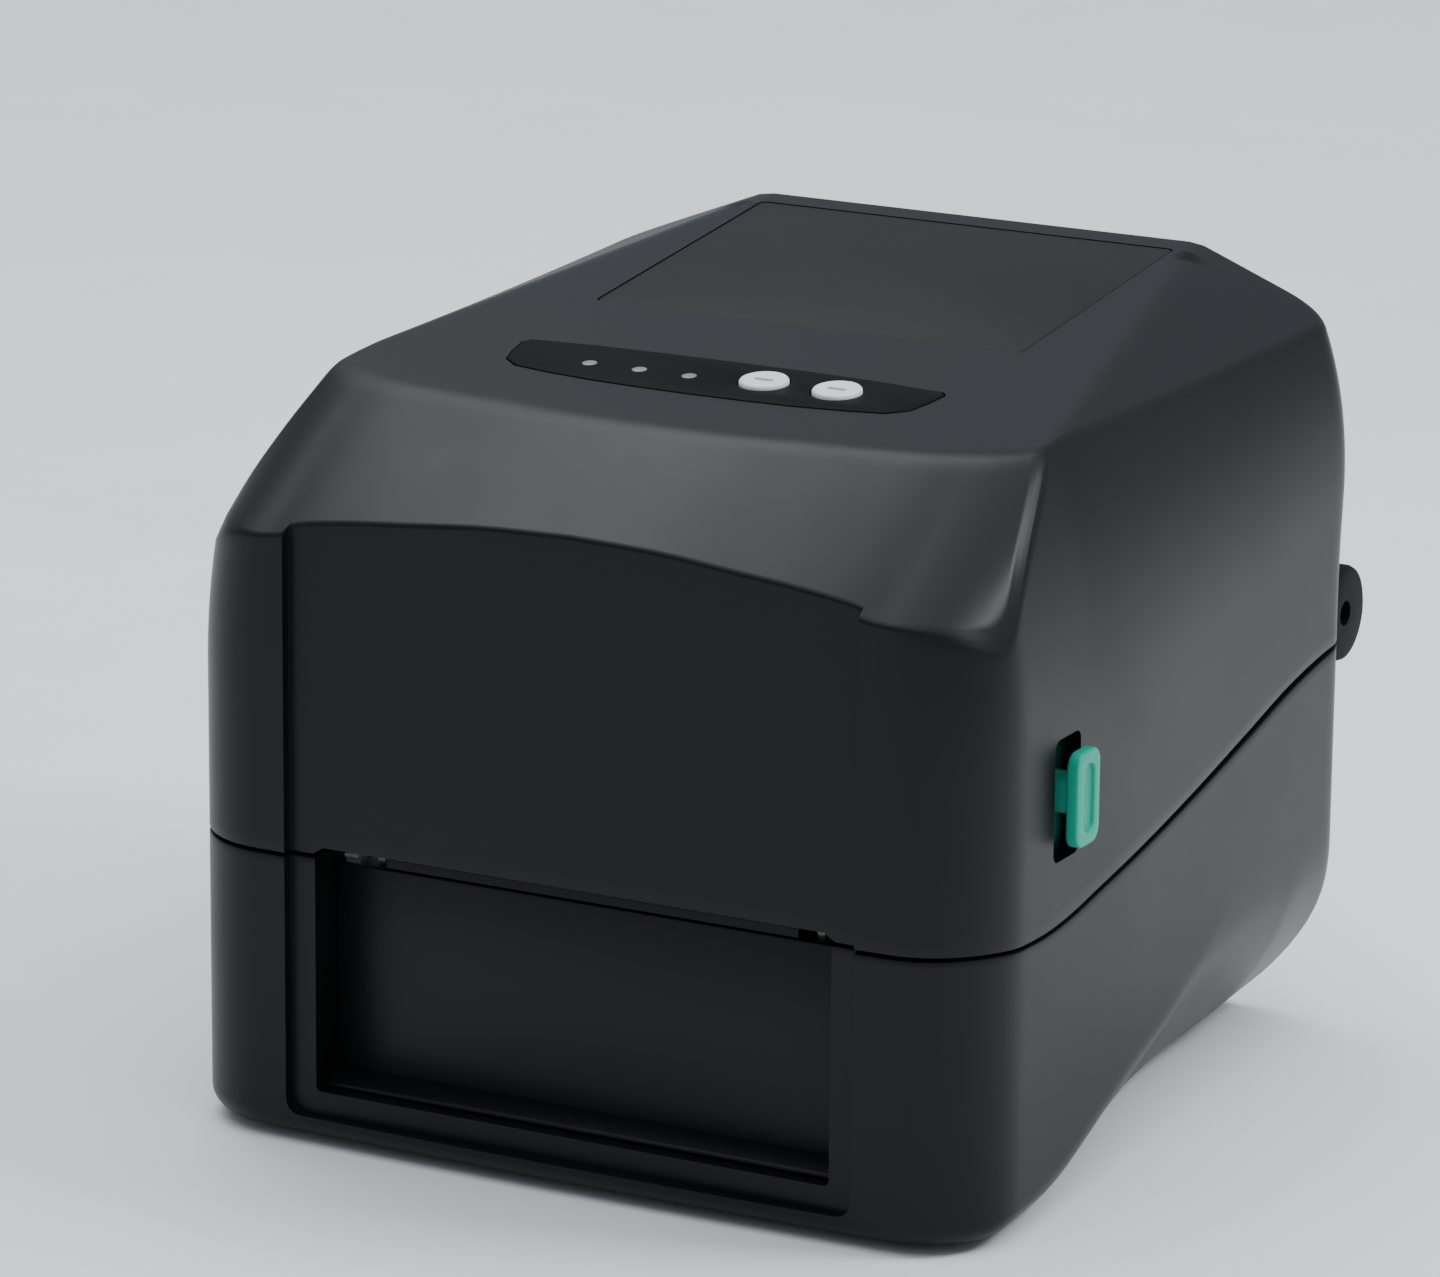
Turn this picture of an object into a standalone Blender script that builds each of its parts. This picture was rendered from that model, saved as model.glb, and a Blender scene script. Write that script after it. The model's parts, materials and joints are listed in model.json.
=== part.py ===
"""Desktop thermal label printer: a lower casing with the paper path and drive, and a hinged cover
that carries the ribbon spindles and the print head. Metres, +Z up, front towards -Y."""

import math

import bmesh
import bpy
from mathutils import Matrix, Vector

MM = 0.001

# ---------------------------------------------------------------- driving sizes, in millimetres
HALF_WIDTH = 113.0
FRONT_Y = -122.0
REAR_Y = 103.0
BODY_BOTTOM = 2.0
WALL = 3.0
FIT = 0.3

SIDE_CURVE_START_Z = 120.0
SIDE_CURVE_RADIUS = 183.0
FRONT_CORNER = 25.0
REAR_CORNER = 12.0
FRONT_BOW = 1.5

ROOF_CORNER_Y = -62.0
ROOF_CORNER_Z = 189.0
ROOF_SLOPE = 0.1006
ROOF_REAR_Y = REAR_Y + 5.0
RIDGE_REAR_X = 64.7

RECESS_Y = -118.0
RECESS_HALF = 79.4
RECESS_BOTTOM_Z = 8.0
BEZEL_HALF = 72.5
BEZEL_BOTTOM_Z = 14.2
BEZEL_DEPTH = 11.0
EXIT_TOP_Z = 78.4

HINGE_Y = REAR_Y + 6.0
HINGE_Z = 110.0
BARREL_RADIUS = 13.0
BARREL_HALF = 109.0
LUG_INNER_X = 62.0
LUG_WIDTH = 20.0
HINGE_PIN_RADIUS = 3.0

SEAM_GAP = 0.8
SEAM = [(-135.0, 75.8), (-105.0, 75.8), (-98.0, 75.3), (-81.0, 74.8), (-66.0, 76.0), (-52.0, 78.1),
        (-37.0, 80.3), (-23.0, 82.6), (7.0, 88.3), (38.0, 95.0), (69.5, 101.9), (88.0, 104.6), (135.0, 106.5)]

WINDOW_HALF = 59.0
WINDOW_FRONT_Y = 7.0
WINDOW_REAR_Y = 98.0
WINDOW_THICK = 1.5

PANEL_THICK = 1.6
PANEL_HALF = 60.0
KEY_RADIUS = 6.4
KEY_X = (11.4, 31.9)
KEY_Y = -38.8
LED_X = (-37.0, -22.7, -8.5)
LED_Y = -41.3
LED_RADIUS = 2.3

PLATEN_Y = -92.0
PLATEN_Z = 67.6
PLATEN_RADIUS = 8.0
PLATEN_HALF = 56.0
SHAFT_RADIUS = 3.0
CHASSIS_X = 62.0
SHEET = 2.0

GEAR_MODULE = 0.8
PLATEN_TEETH = 30
IDLER_TEETH = 36
PINION_TEETH = 14
GEAR_THICK = 4.0
GEAR_X = -68.5

DECK_HALF = 100.0
DECK_FRONT_Z = 61.0
DECK_FLOOR_Z = 44.0
DECK_THICK = 2.0

GUIDE_HALF = 50.0
GUIDE_THICK = 3.0
GUIDE_PINION_TEETH = 16

FRAME_X = 64.0
SUPPLY_Y = -30.0
SUPPLY_Z = 152.0
TAKEUP_Y = -84.0
TAKEUP_Z = 134.0
SPINDLE_RADIUS = 5.0
TAKEUP_TEETH = 32
RIBBON_PINION_TEETH = 14

LEVER_X = 105.0
LEVER_THICK = 3.0
LEVER_PIVOT_Y = -62.0
LEVER_PIVOT_Z = 138.0
TAB_Y = -71.0
TAB_BOTTOM_Z = 95.3
TAB_TOP_Z = 119.3
TAB_WIDTH = 12.8
TAB_OUT = 5.0
CATCH_Y = -56.0
CATCH_Z = 70.0

FOOT_RADIUS = 8.0
BOARD_Z = 18.0

# ---------------------------------------------------------------- materials
COLOURS = {
    "casing": ((0.030, 0.031, 0.034), 0.42, 0.0),
    "smoked": ((0.050, 0.048, 0.052), 0.10, 0.0),
    "panel": ((0.008, 0.008, 0.009), 0.25, 0.0),
    "white_key": ((0.80, 0.82, 0.84), 0.35, 0.0),
    "led": ((0.25, 0.27, 0.28), 0.30, 0.0),
    "teal": ((0.010, 0.36, 0.27), 0.38, 0.0),
    "rubber": ((0.012, 0.012, 0.012), 0.85, 0.0),
    "steel": ((0.55, 0.56, 0.58), 0.30, 1.0),
    "zinc": ((0.42, 0.43, 0.45), 0.45, 1.0),
    "acetal": ((0.78, 0.77, 0.72), 0.45, 0.0),
    "grey_plastic": ((0.16, 0.165, 0.17), 0.50, 0.0),
    "board": ((0.010, 0.14, 0.06), 0.45, 0.0),
    "ceramic": ((0.55, 0.50, 0.40), 0.25, 0.0),
    "aluminium": ((0.62, 0.63, 0.65), 0.35, 1.0),
    "motor": ((0.03, 0.03, 0.035), 0.40, 0.6),
}


def material(kind):
    found = bpy.data.materials.get(kind)
    if found:
        return found
    made = bpy.data.materials.new(kind)
    made.use_nodes = True
    shader = made.node_tree.nodes["Principled BSDF"]
    colour, rough, metal = COLOURS[kind]
    shader.inputs["Base Color"].default_value = (*colour, 1.0)
    shader.inputs["Roughness"].default_value = rough
    shader.inputs["Metallic"].default_value = metal
    return made


# ---------------------------------------------------------------- modelling helpers
def collection(name):
    made = bpy.data.collections.new(name)
    bpy.context.scene.collection.children.link(made)
    return made


def keep_mesh(name, bm):
    bmesh.ops.recalc_face_normals(bm, faces=bm.faces)
    mesh = bpy.data.meshes.new(name)
    bm.to_mesh(mesh)
    bm.free()
    made = bpy.data.objects.new(name, mesh)
    PRINTER.objects.link(made)
    return made


def at(obj, x=0.0, y=0.0, z=0.0):
    obj.data.transform(Matrix.Translation(Vector((x, y, z)) * MM))
    return obj


def prism(name, outline, low, high, axis="X"):
    """A flat outline swept from low to high. Axis X takes (y, z), Y takes (x, z), Z takes (x, y)."""
    places = {"X": lambda a, b, h: (h, a, b), "Y": lambda a, b, h: (a, h, b), "Z": lambda a, b, h: (a, b, h)}
    place = places[axis]
    bm = bmesh.new()
    ring = [bm.verts.new(Vector(place(a, b, low)) * MM) for a, b in outline]
    face = bm.faces.new(ring)
    swept = bmesh.ops.extrude_face_region(bm, geom=[face])
    moved = [v for v in swept["geom"] if isinstance(v, bmesh.types.BMVert)]
    step = Vector(place(0.0, 0.0, high - low)) * MM
    bmesh.ops.translate(bm, verts=moved, vec=step)
    return keep_mesh(name, bm)


def box(name, x0, x1, y0, y1, z0, z1):
    bm = bmesh.new()
    bmesh.ops.create_cube(bm, size=1.0)
    size = Vector((x1 - x0, y1 - y0, z1 - z0)) * MM
    middle = Vector((x0 + x1, y0 + y1, z0 + z1)) * (MM / 2.0)
    bmesh.ops.scale(bm, verts=bm.verts, vec=size)
    bmesh.ops.translate(bm, verts=bm.verts, vec=middle)
    return keep_mesh(name, bm)


def rod(name, radius, low, high, axis="X", u=0.0, v=0.0, sides=24, far_radius=None):
    """A round bar along an axis from low to high, centred on the other two coordinates u, v."""
    far = radius if far_radius is None else far_radius
    bm = bmesh.new()
    bmesh.ops.create_cone(bm, cap_ends=True, segments=sides, radius1=radius * MM, radius2=far * MM,
                          depth=(high - low) * MM)
    middle = (low + high) / 2.0
    if axis == "X":
        turn = Matrix.Rotation(math.pi / 2.0, 4, "Y")
        shift = (middle, u, v)
    elif axis == "Y":
        turn = Matrix.Rotation(-math.pi / 2.0, 4, "X")
        shift = (u, middle, v)
    else:
        turn = Matrix.Identity(4)
        shift = (u, v, middle)
    bmesh.ops.transform(bm, matrix=Matrix.Translation(Vector(shift) * MM) @ turn, verts=bm.verts)
    return keep_mesh(name, bm)


def loft(name, rings):
    """Rings of equal length joined by quads, the two ends closed."""
    bm = bmesh.new()
    rows = [[bm.verts.new(Vector(p) * MM) for p in ring] for ring in rings]
    count = len(rows[0])
    for near, far in zip(rows[:-1], rows[1:]):
        for i in range(count):
            j = (i + 1) % count
            bm.faces.new((near[i], near[j], far[j], far[i]))
    bm.faces.new(rows[0])
    bm.faces.new(list(reversed(rows[-1])))
    bmesh.ops.triangulate(bm, faces=bm.faces)
    return keep_mesh(name, bm)


def tidy(mesh, flat=0.0):
    bm = bmesh.new()
    bm.from_mesh(mesh)
    bmesh.ops.remove_doubles(bm, verts=bm.verts, dist=0.000003)
    bmesh.ops.dissolve_degenerate(bm, edges=bm.edges, dist=0.000002)
    if flat:
        bmesh.ops.dissolve_limit(bm, angle_limit=math.radians(flat), verts=bm.verts, edges=bm.edges)
    bmesh.ops.triangulate(bm, faces=bm.faces)
    bm.to_mesh(mesh)
    bm.free()


def combine(target, others, operation):
    for other in others:
        step = target.modifiers.new("step", "BOOLEAN")
        step.operation = operation
        step.solver = "EXACT"
        step.object = other
        bpy.context.view_layer.update()
        graph = bpy.context.evaluated_depsgraph_get()
        mesh = bpy.data.meshes.new_from_object(target.evaluated_get(graph))
        target.modifiers.remove(step)
        old = target.data
        target.data = mesh
        bpy.data.meshes.remove(old)
        tidy(mesh, 0.01)
        spent = other.data
        bpy.data.objects.remove(other)
        bpy.data.meshes.remove(spent)
    return target


def cut(target, *others):
    return combine(target, others, "DIFFERENCE")


def join(target, *others):
    return combine(target, others, "UNION")


def common(target, *others):
    return combine(target, others, "INTERSECT")


def finish(obj, kind, sharp=35.0):
    tidy(obj.data, 0.02)
    obj.data.materials.clear()
    obj.data.materials.append(material(kind))
    obj.data.shade_smooth()
    obj.data.set_sharp_from_angle(angle=math.radians(sharp))
    obj.data.name = obj.name
    return obj


def pivot(obj, x, y, z):
    """Puts the object's origin on its joint axis without moving the solid."""
    spot = Vector((x, y, z)) * MM
    obj.data.transform(Matrix.Translation(-spot))
    obj.location = spot
    return obj


def mirrored(points):
    """A half outline from the centre line outwards, made whole across x = 0."""
    other = [(-x, y) for x, y in reversed(points) if x > 1e-6]
    return points + other


# ---------------------------------------------------------------- outer form, inset by t
def roof_z(y):
    return ROOF_CORNER_Z + ROOF_SLOPE * (y - ROOF_CORNER_Y)


def side_x(z):
    rise = max(0.0, z - SIDE_CURVE_START_Z)
    return HALF_WIDTH - SIDE_CURVE_RADIUS + math.sqrt(SIDE_CURVE_RADIUS ** 2 - rise ** 2)


def front_y(x):
    return FRONT_Y + FRONT_BOW * (x / 88.0) ** 2


def plan_outline(t, rear):
    corner_x = HALF_WIDTH - FRONT_CORNER
    points = [(x, front_y(x) + t) for x in (0.0, 30.0, 60.0)]
    start = front_y(corner_x)
    for i in range(7):
        a = math.radians(15.0 * i)
        reach = FRONT_CORNER - t
        points.append((corner_x + reach * math.sin(a), start + FRONT_CORNER - reach * math.cos(a)))
    rear_reach = REAR_CORNER - t
    for i in range(5):
        a = math.radians(22.5 * i)
        points.append((HALF_WIDTH - REAR_CORNER + rear_reach * math.cos(a),
                       rear - REAR_CORNER + rear_reach * math.sin(a)))
    points.append((0.0, rear - t))
    half = points
    return half + [(-x, y) for x, y in reversed(half) if x > 1e-6]


def plan_solid(t):
    stations = [(-10.0, REAR_Y), (125.0, REAR_Y), (188.0, ROOF_REAR_Y), (230.0, ROOF_REAR_Y)]
    return loft("plan", [[(x, y, z) for x, y in plan_outline(t, rear)] for z, rear in stations])


def roof_ring(y, t):
    edge_z = min(roof_z(y), ROOF_CORNER_Z + 0.5)
    half = [(HALF_WIDTH + 15.0, -20.0), (HALF_WIDTH + 15.0, 100.0)]
    half.append((HALF_WIDTH + 0.6 - t, SIDE_CURVE_START_Z - 5.0))
    low = SIDE_CURVE_START_Z + 5.0
    for i in range(7):
        z = low + (edge_z - t - low) * i / 6.0
        half.append((side_x(z) - t, z))
    share = max(0.0, (y - ROOF_CORNER_Y) / (ROOF_REAR_Y - ROOF_CORNER_Y))
    ridge = side_x(edge_z) + (RIDGE_REAR_X - side_x(ROOF_CORNER_Z)) * share
    half.append((min(ridge, half[-1][0] + t - 2.0) - 0.5 * t, roof_z(y) - t))
    half = [(x, y, z) for x, z in half]
    return half + [(-x, yy, z) for x, yy, z in reversed(half)]


def roof_solid(t):
    ends = [-140.0, ROOF_CORNER_Y, -20.0, 25.0, 66.0, 130.0]
    return loft("roof", [roof_ring(y, t) for y in ends])


BEVEL = [(0.0, -79.2, 0.500), (25.0, -78.4, 0.515), (45.0, -76.3, 0.540), (62.0, -74.5, 0.560),
         (76.0, -72.4, 0.580), (88.0, -68.8, 0.600), (99.5, -62.0, 0.622), (113.0, -50.0, 0.717),
         (125.0, -38.0, 0.760)]


def bevel_solid(t):
    rings = []
    for x, y, slope in [(-a, b, c) for a, b, c in reversed(BEVEL[1:])] + BEVEL:
        top = roof_z(y) - 1.16 * t
        rings.append([(x, -140.0, top + slope * (-140.0 - y)), (x, y + (250.0 - top) / slope, 250.0),
                      (x, 140.0, 250.0), (x, 140.0, -20.0), (x, -140.0, -20.0)])
    return loft("bevel", rings)


UNDERCUT = [(-118.0, 109.5, 5.0), (-69.0, 105.0, 11.0), (-33.0, 98.0, 24.0), (6.0, 90.5, 38.0),
            (30.0, 86.5, 55.0), (71.0, 82.5, 78.0), (140.0, 79.0, 104.0)]


def undercut(side, t):
    """The leaning facet low on each side that narrows the underside towards the rear."""
    rings = []
    for y, foot_x, top_z in UNDERCUT:
        run = HALF_WIDTH - foot_x
        lean = math.hypot(run, top_z)
        inward = t * lean / top_z
        low = -6.0
        high = top_z * (135.0 - foot_x) / run
        rings.append([(side * (foot_x - inward + run * low / top_z), y, low),
                      (side * (135.0 - inward), y, high),
                      (side * (140.0 + run), y, high),
                      (side * (140.0 + run), y, low)])
    return loft("undercut", rings)


def body(t):
    whole = common(plan_solid(t), roof_solid(t), bevel_solid(t))
    floor = BODY_BOTTOM if t == 0.0 else BODY_BOTTOM + t
    cut(whole, box("below", -150, 150, -150, 150, -30, floor), undercut(1.0, t), undercut(-1.0, t))
    return whole


def seam_side(above):
    offset = SEAM_GAP / 2.0 if above else -SEAM_GAP / 2.0
    line = [(y, z + offset) for y, z in SEAM]
    far = 260.0 if above else -40.0
    return prism("seam", line + [(135.0, far), (-135.0, far)], -150.0, 150.0)


# ---------------------------------------------------------------- casings
def tilted(obj, y, z_off=0.0):
    """Moves a piece modelled flat at the origin on to the roof plane at y."""
    lean = Matrix.Rotation(math.atan(ROOF_SLOPE), 4, "X")
    obj.data.transform(Matrix.Translation(Vector((0.0, y, roof_z(y) + z_off)) * MM) @ lean)
    return obj


def panel_outline(grow):
    h = PANEL_HALF + grow
    half = [(0.0, 14.0 + grow), (40.0, 13.2 + grow), (h - 1.6, 11.5 + grow), (h, 9.5 + grow), (h - 2.5, -4.5),
            (h - 8.0, -8.4 - grow), (28.0, -11.8 - grow), (0.0, -12.6 - grow)]
    return half + [(-x, y) for x, y in reversed(half) if x > 1e-6]


PANEL_Y = -41.0


def make_cover():
    shell = body(0.0)
    hollow = body(WALL)
    shell.name = "cover_shell"
    reach = RECESS_HALF + WALL
    cut(hollow, box("behind", -reach, reach, -150, RECESS_Y + WALL, -20, 230))
    cut(shell, hollow, box("recess", -RECESS_HALF, RECESS_HALF, -150, RECESS_Y, RECESS_BOTTOM_Z, 230))
    common(shell, seam_side(True))
    join(shell, rod("barrel", BARREL_RADIUS, -BARREL_HALF, BARREL_HALF, "X", HINGE_Y, HINGE_Z, 32))
    cut(shell, box("exit", -BEZEL_HALF, BEZEL_HALF, -140, -104, 60, EXIT_TOP_Z))
    for side in (-1.0, 1.0):
        low, high = sorted((side * (LUG_INNER_X - 0.5), side * (LUG_INNER_X + LUG_WIDTH + 0.5)))
        cut(shell, rod("slot", BARREL_RADIUS + 1.0, low, high, "X", HINGE_Y, HINGE_Z, 32))
        low, high = sorted((side * (LUG_INNER_X - 12.0), side * (LUG_INNER_X + LUG_WIDTH + 12.0)))
        cut(shell, rod("bore", HINGE_PIN_RADIUS + FIT, low, high, "X", HINGE_Y, HINGE_Z, 16))
        low, high = sorted((side * 98.0, side * 130.0))
        cut(shell, box("tab", low, high, TAB_Y - TAB_WIDTH / 2 - 2.6, TAB_Y + TAB_WIDTH / 2 - 0.9,
                       TAB_BOTTOM_Z - 3.5, TAB_TOP_Z + 3.5))
    window = prism("window", [(-0.3, -20.0), (WINDOW_REAR_Y - WINDOW_FRONT_Y + 0.3, -20.0),
                              (WINDOW_REAR_Y - WINDOW_FRONT_Y + 0.3, 9.0), (-0.3, 9.0)],
                   -WINDOW_HALF - 0.3, WINDOW_HALF + 0.3)
    ledge = box("ledge", -WINDOW_HALF - 4, WINDOW_HALF + 4, -4, WINDOW_REAR_Y - WINDOW_FRONT_Y + 3,
                -WINDOW_THICK - 3.5, -WINDOW_THICK - 0.3)
    hole = box("hole", -WINDOW_HALF + 3, WINDOW_HALF - 3, 3, WINDOW_REAR_Y - WINDOW_FRONT_Y - 3, -20, 9)
    cut(ledge, hole)
    cut(shell, tilted(window, WINDOW_FRONT_Y))
    join(shell, tilted(ledge, WINDOW_FRONT_Y))
    cut(shell, tilted(prism("seat", panel_outline(FIT), -PANEL_THICK - 0.2, 9.0, "Z"), PANEL_Y))
    for x in KEY_X:
        hole = rod("hole", KEY_RADIUS + 1.2, -12, 9, "Z", 0, 0, 20)
        cut(shell, tilted(at(hole, x, KEY_Y - PANEL_Y), PANEL_Y))
    for x in LED_X:
        hole = rod("hole", LED_RADIUS + 0.3, -12, 9, "Z", 0, 0, 12)
        cut(shell, tilted(at(hole, x, LED_Y - PANEL_Y), PANEL_Y))
    return pivot(finish(shell, "casing", 28.0), 0, HINGE_Y, HINGE_Z)


def make_base():
    shell = body(0.0)
    shell.name = "base_shell"
    hollow = body(WALL)
    box_y = RECESS_Y + BEZEL_DEPTH
    reach = RECESS_HALF + WALL
    cut(hollow, box("behind", -reach, reach, -150, RECESS_Y + WALL, -20, 230),
        box("surround", -BEZEL_HALF - WALL, BEZEL_HALF + WALL, -150, box_y + 3.5,
            BEZEL_BOTTOM_Z - WALL, 75.0))
    cut(shell, hollow, box("recess", -RECESS_HALF, RECESS_HALF, -150, RECESS_Y, RECESS_BOTTOM_Z, 230))
    common(shell, seam_side(False))
    cut(shell, box("bezel", -BEZEL_HALF, BEZEL_HALF, -150, box_y + 9.0, BEZEL_BOTTOM_Z, 90.0))
    reach = BARREL_HALF + 0.6
    cut(shell, rod("clear", BARREL_RADIUS + 0.6, -reach, reach, "X", HINGE_Y, HINGE_Z, 32))
    for side in (-1.0, 1.0):
        low, high = sorted((side * LUG_INNER_X, side * (LUG_INNER_X + LUG_WIDTH)))
        lug = rod("lug", BARREL_RADIUS - 0.5, low, high, "X", HINGE_Y, HINGE_Z, 32)
        web = [(REAR_Y - 2.0, 70.0), (REAR_Y - 1.0, 70.0), (HINGE_Y + 9.0, 100.0), (HINGE_Y + 3.0, 110.0),
               (HINGE_Y - 7.0, 110.0), (REAR_Y - 2.0, 97.0)]
        join(lug, prism("web", web, low, high))
        join(shell, lug)
        cut(shell, rod("bore", HINGE_PIN_RADIUS + 0.05, low - 1, high + 1, "X", HINGE_Y, HINGE_Z, 16))
    for x, y in FEET:
        cut(shell, rod("foot", FOOT_RADIUS + FIT, -5.0, 3.4, "Z", x, y, 24))
    for low_x, high_x, low_z, high_z in PORTS.values():
        cut(shell, box("port", low_x - FIT, high_x + FIT, 80, 120, low_z - FIT, high_z + FIT))
    return finish(shell, "casing", 28.0)


FEET = [(-82.0, -96.0), (82.0, -96.0), (-66.0, 84.0), (66.0, 84.0)]
PORTS = {
    "dc_inlet": (-60.0, -49.0, 20.0, 31.0),
    "serial_port": (-38.0, -7.0, 20.0, 32.5),
    "lan_port": (2.0, 18.0, 20.0, 33.5),
    "usb_port": (27.0, 39.0, 20.0, 31.0),
    "switch_housing": (50.0, 64.0, 16.0, 37.0),
}


# ---------------------------------------------------------------- small parts
def gear_outline(teeth):
    pitch = GEAR_MODULE * teeth / 2.0
    outer = pitch + 0.85 * GEAR_MODULE
    root = pitch - 1.1 * GEAR_MODULE
    step = 2.0 * math.pi / teeth
    points = []
    for i in range(teeth):
        for radius, share in ((root, -0.34), (outer, -0.12), (outer, 0.12), (root, 0.34)):
            a = step * (i + share)
            points.append((radius * math.cos(a), radius * math.sin(a)))
    return points


def gear(name, teeth, low, high, y, z, turn=0.0, bore=None, hub=None):
    points = []
    for a, b in gear_outline(teeth):
        c = math.cos(turn)
        s = math.sin(turn)
        points.append((y + a * c - b * s, z + a * s + b * c))
    made = prism(name, points, low, high)
    if hub:
        join(made, rod("hub", hub[0], hub[1], hub[2], "X", y, z, 16))
    if bore:
        cut(made, rod("bore", bore, low - 20, high + 20, "X", y, z, 16))
    return made


def mesh_turn(teeth_a, turn_a, teeth_b, bearing):
    """The turn that puts a gap of gear b opposite a tooth of gear a along the line of centres."""
    facing_a = bearing - turn_a
    step_a = 2.0 * math.pi / teeth_a
    phase = (facing_a / step_a) % 1.0
    step_b = 2.0 * math.pi / teeth_b
    back = bearing + math.pi
    return back - step_b * (0.5 - phase)


def towards(y, z, distance, degrees):
    a = math.radians(degrees)
    return y + distance * math.cos(a), z + distance * math.sin(a)


GEAR_PLAY = 0.12
RIBBON_BEARING = 78.0
IDLER_REACH = GEAR_MODULE * (PLATEN_TEETH + IDLER_TEETH) / 2 + GEAR_PLAY
IDLER_Y, IDLER_Z = towards(PLATEN_Y, PLATEN_Z, IDLER_REACH, -40.0)
MOTOR_REACH = GEAR_MODULE * (IDLER_TEETH + PINION_TEETH) / 2 + GEAR_PLAY
MOTOR_Y, MOTOR_Z = towards(IDLER_Y, IDLER_Z, MOTOR_REACH, -42.0)
RIBBON_MOTOR_Y, RIBBON_MOTOR_Z = towards(
    TAKEUP_Y, TAKEUP_Z, GEAR_MODULE * (TAKEUP_TEETH + RIBBON_PINION_TEETH) / 2 + GEAR_PLAY, RIBBON_BEARING)


def make_drive():
    shaft = rod("platen_shaft", SHAFT_RADIUS, -76.0, 66.5, "X", PLATEN_Y, PLATEN_Z, 16)
    finish(pivot(shaft, 0, PLATEN_Y, PLATEN_Z), "steel")
    sleeve = rod("platen_rubber", PLATEN_RADIUS, -PLATEN_HALF, PLATEN_HALF, "X", PLATEN_Y, PLATEN_Z, 32)
    cut(sleeve, rod("bore", SHAFT_RADIUS + 0.05, -90, 90, "X", PLATEN_Y, PLATEN_Z, 16))
    finish(pivot(sleeve, 0, PLATEN_Y, PLATEN_Z), "rubber")
    low = GEAR_X - GEAR_THICK
    platen_turn = 0.0
    platen_gear = gear("platen_gear", PLATEN_TEETH, low, GEAR_X, PLATEN_Y, PLATEN_Z, platen_turn,
                       SHAFT_RADIUS + 0.05, (5.5, GEAR_X - 1, GEAR_X + 3.0))
    finish(pivot(platen_gear, GEAR_X, PLATEN_Y, PLATEN_Z), "acetal")
    idler_turn = mesh_turn(PLATEN_TEETH, platen_turn, IDLER_TEETH, math.radians(-40.0))
    idler = gear("idler_gear", IDLER_TEETH, low, GEAR_X, IDLER_Y, IDLER_Z, idler_turn, 2.1)
    finish(pivot(idler, GEAR_X, IDLER_Y, IDLER_Z), "acetal")
    pinion_turn = mesh_turn(IDLER_TEETH, idler_turn, PINION_TEETH, math.radians(-42.0))
    pinion = gear("motor_pinion", PINION_TEETH, low, GEAR_X, MOTOR_Y, MOTOR_Z, pinion_turn)
    join(pinion, rod("shaft", 2.5, GEAR_X - 3, GEAR_X + 11.0, "X", MOTOR_Y, MOTOR_Z, 12))
    finish(pivot(pinion, GEAR_X, MOTOR_Y, MOTOR_Z), "steel")
    motor = box("stepper_motor", -CHASSIS_X + SHEET / 2 + 0.3, -CHASSIS_X + 35, MOTOR_Y - 18, MOTOR_Y + 18,
                MOTOR_Z - 18, MOTOR_Z + 18)
    join(motor, rod("boss", 10.0, -CHASSIS_X - SHEET / 2 - 1, -CHASSIS_X + 5, "X", MOTOR_Y, MOTOR_Z, 24))
    cut(motor, rod("bore", 2.8, -80, -CHASSIS_X + 8, "X", MOTOR_Y, MOTOR_Z, 12))
    finish(motor, "motor")


def make_chassis():
    y_front = RECESS_Y + BEZEL_DEPTH + 4.2
    outline = [(y_front, 6.0), (-40.0, 6.0), (-40.0, 58.0), (-84.0, 58.0), (-84.0, 74.0), (y_front, 74.0)]
    for name, side in (("chassis_plate_left", -1.0), ("chassis_plate_right", 1.0)):
        low, high = sorted((side * (CHASSIS_X - SHEET / 2), side * (CHASSIS_X + SHEET / 2)))
        plate = prism(name, outline, low, high)
        cut(plate, rod("seat", 5.3, low - 2, high + 2, "X", PLATEN_Y, PLATEN_Z, 20))
        if side < 0.0:
            cut(plate, rod("seat", 10.3, low - 2, high + 2, "X", MOTOR_Y, MOTOR_Z, 24))
            join(plate, rod("axle", 2.0, GEAR_X - 5.5, low + 1, "X", IDLER_Y, IDLER_Z, 12))
        finish(plate, "zinc")
        name = "platen_bearing_left" if side < 0 else "platen_bearing_right"
        low, high = sorted((side * (CHASSIS_X - 1.9), side * (CHASSIS_X + 1.9)))
        bush = rod(name, 5.0, low, high, "X", PLATEN_Y, PLATEN_Z, 20)
        cut(bush, rod("bore", SHAFT_RADIUS + 0.1, low - 2, high + 2, "X", PLATEN_Y, PLATEN_Z, 16))
        finish(bush, "acetal")


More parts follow.
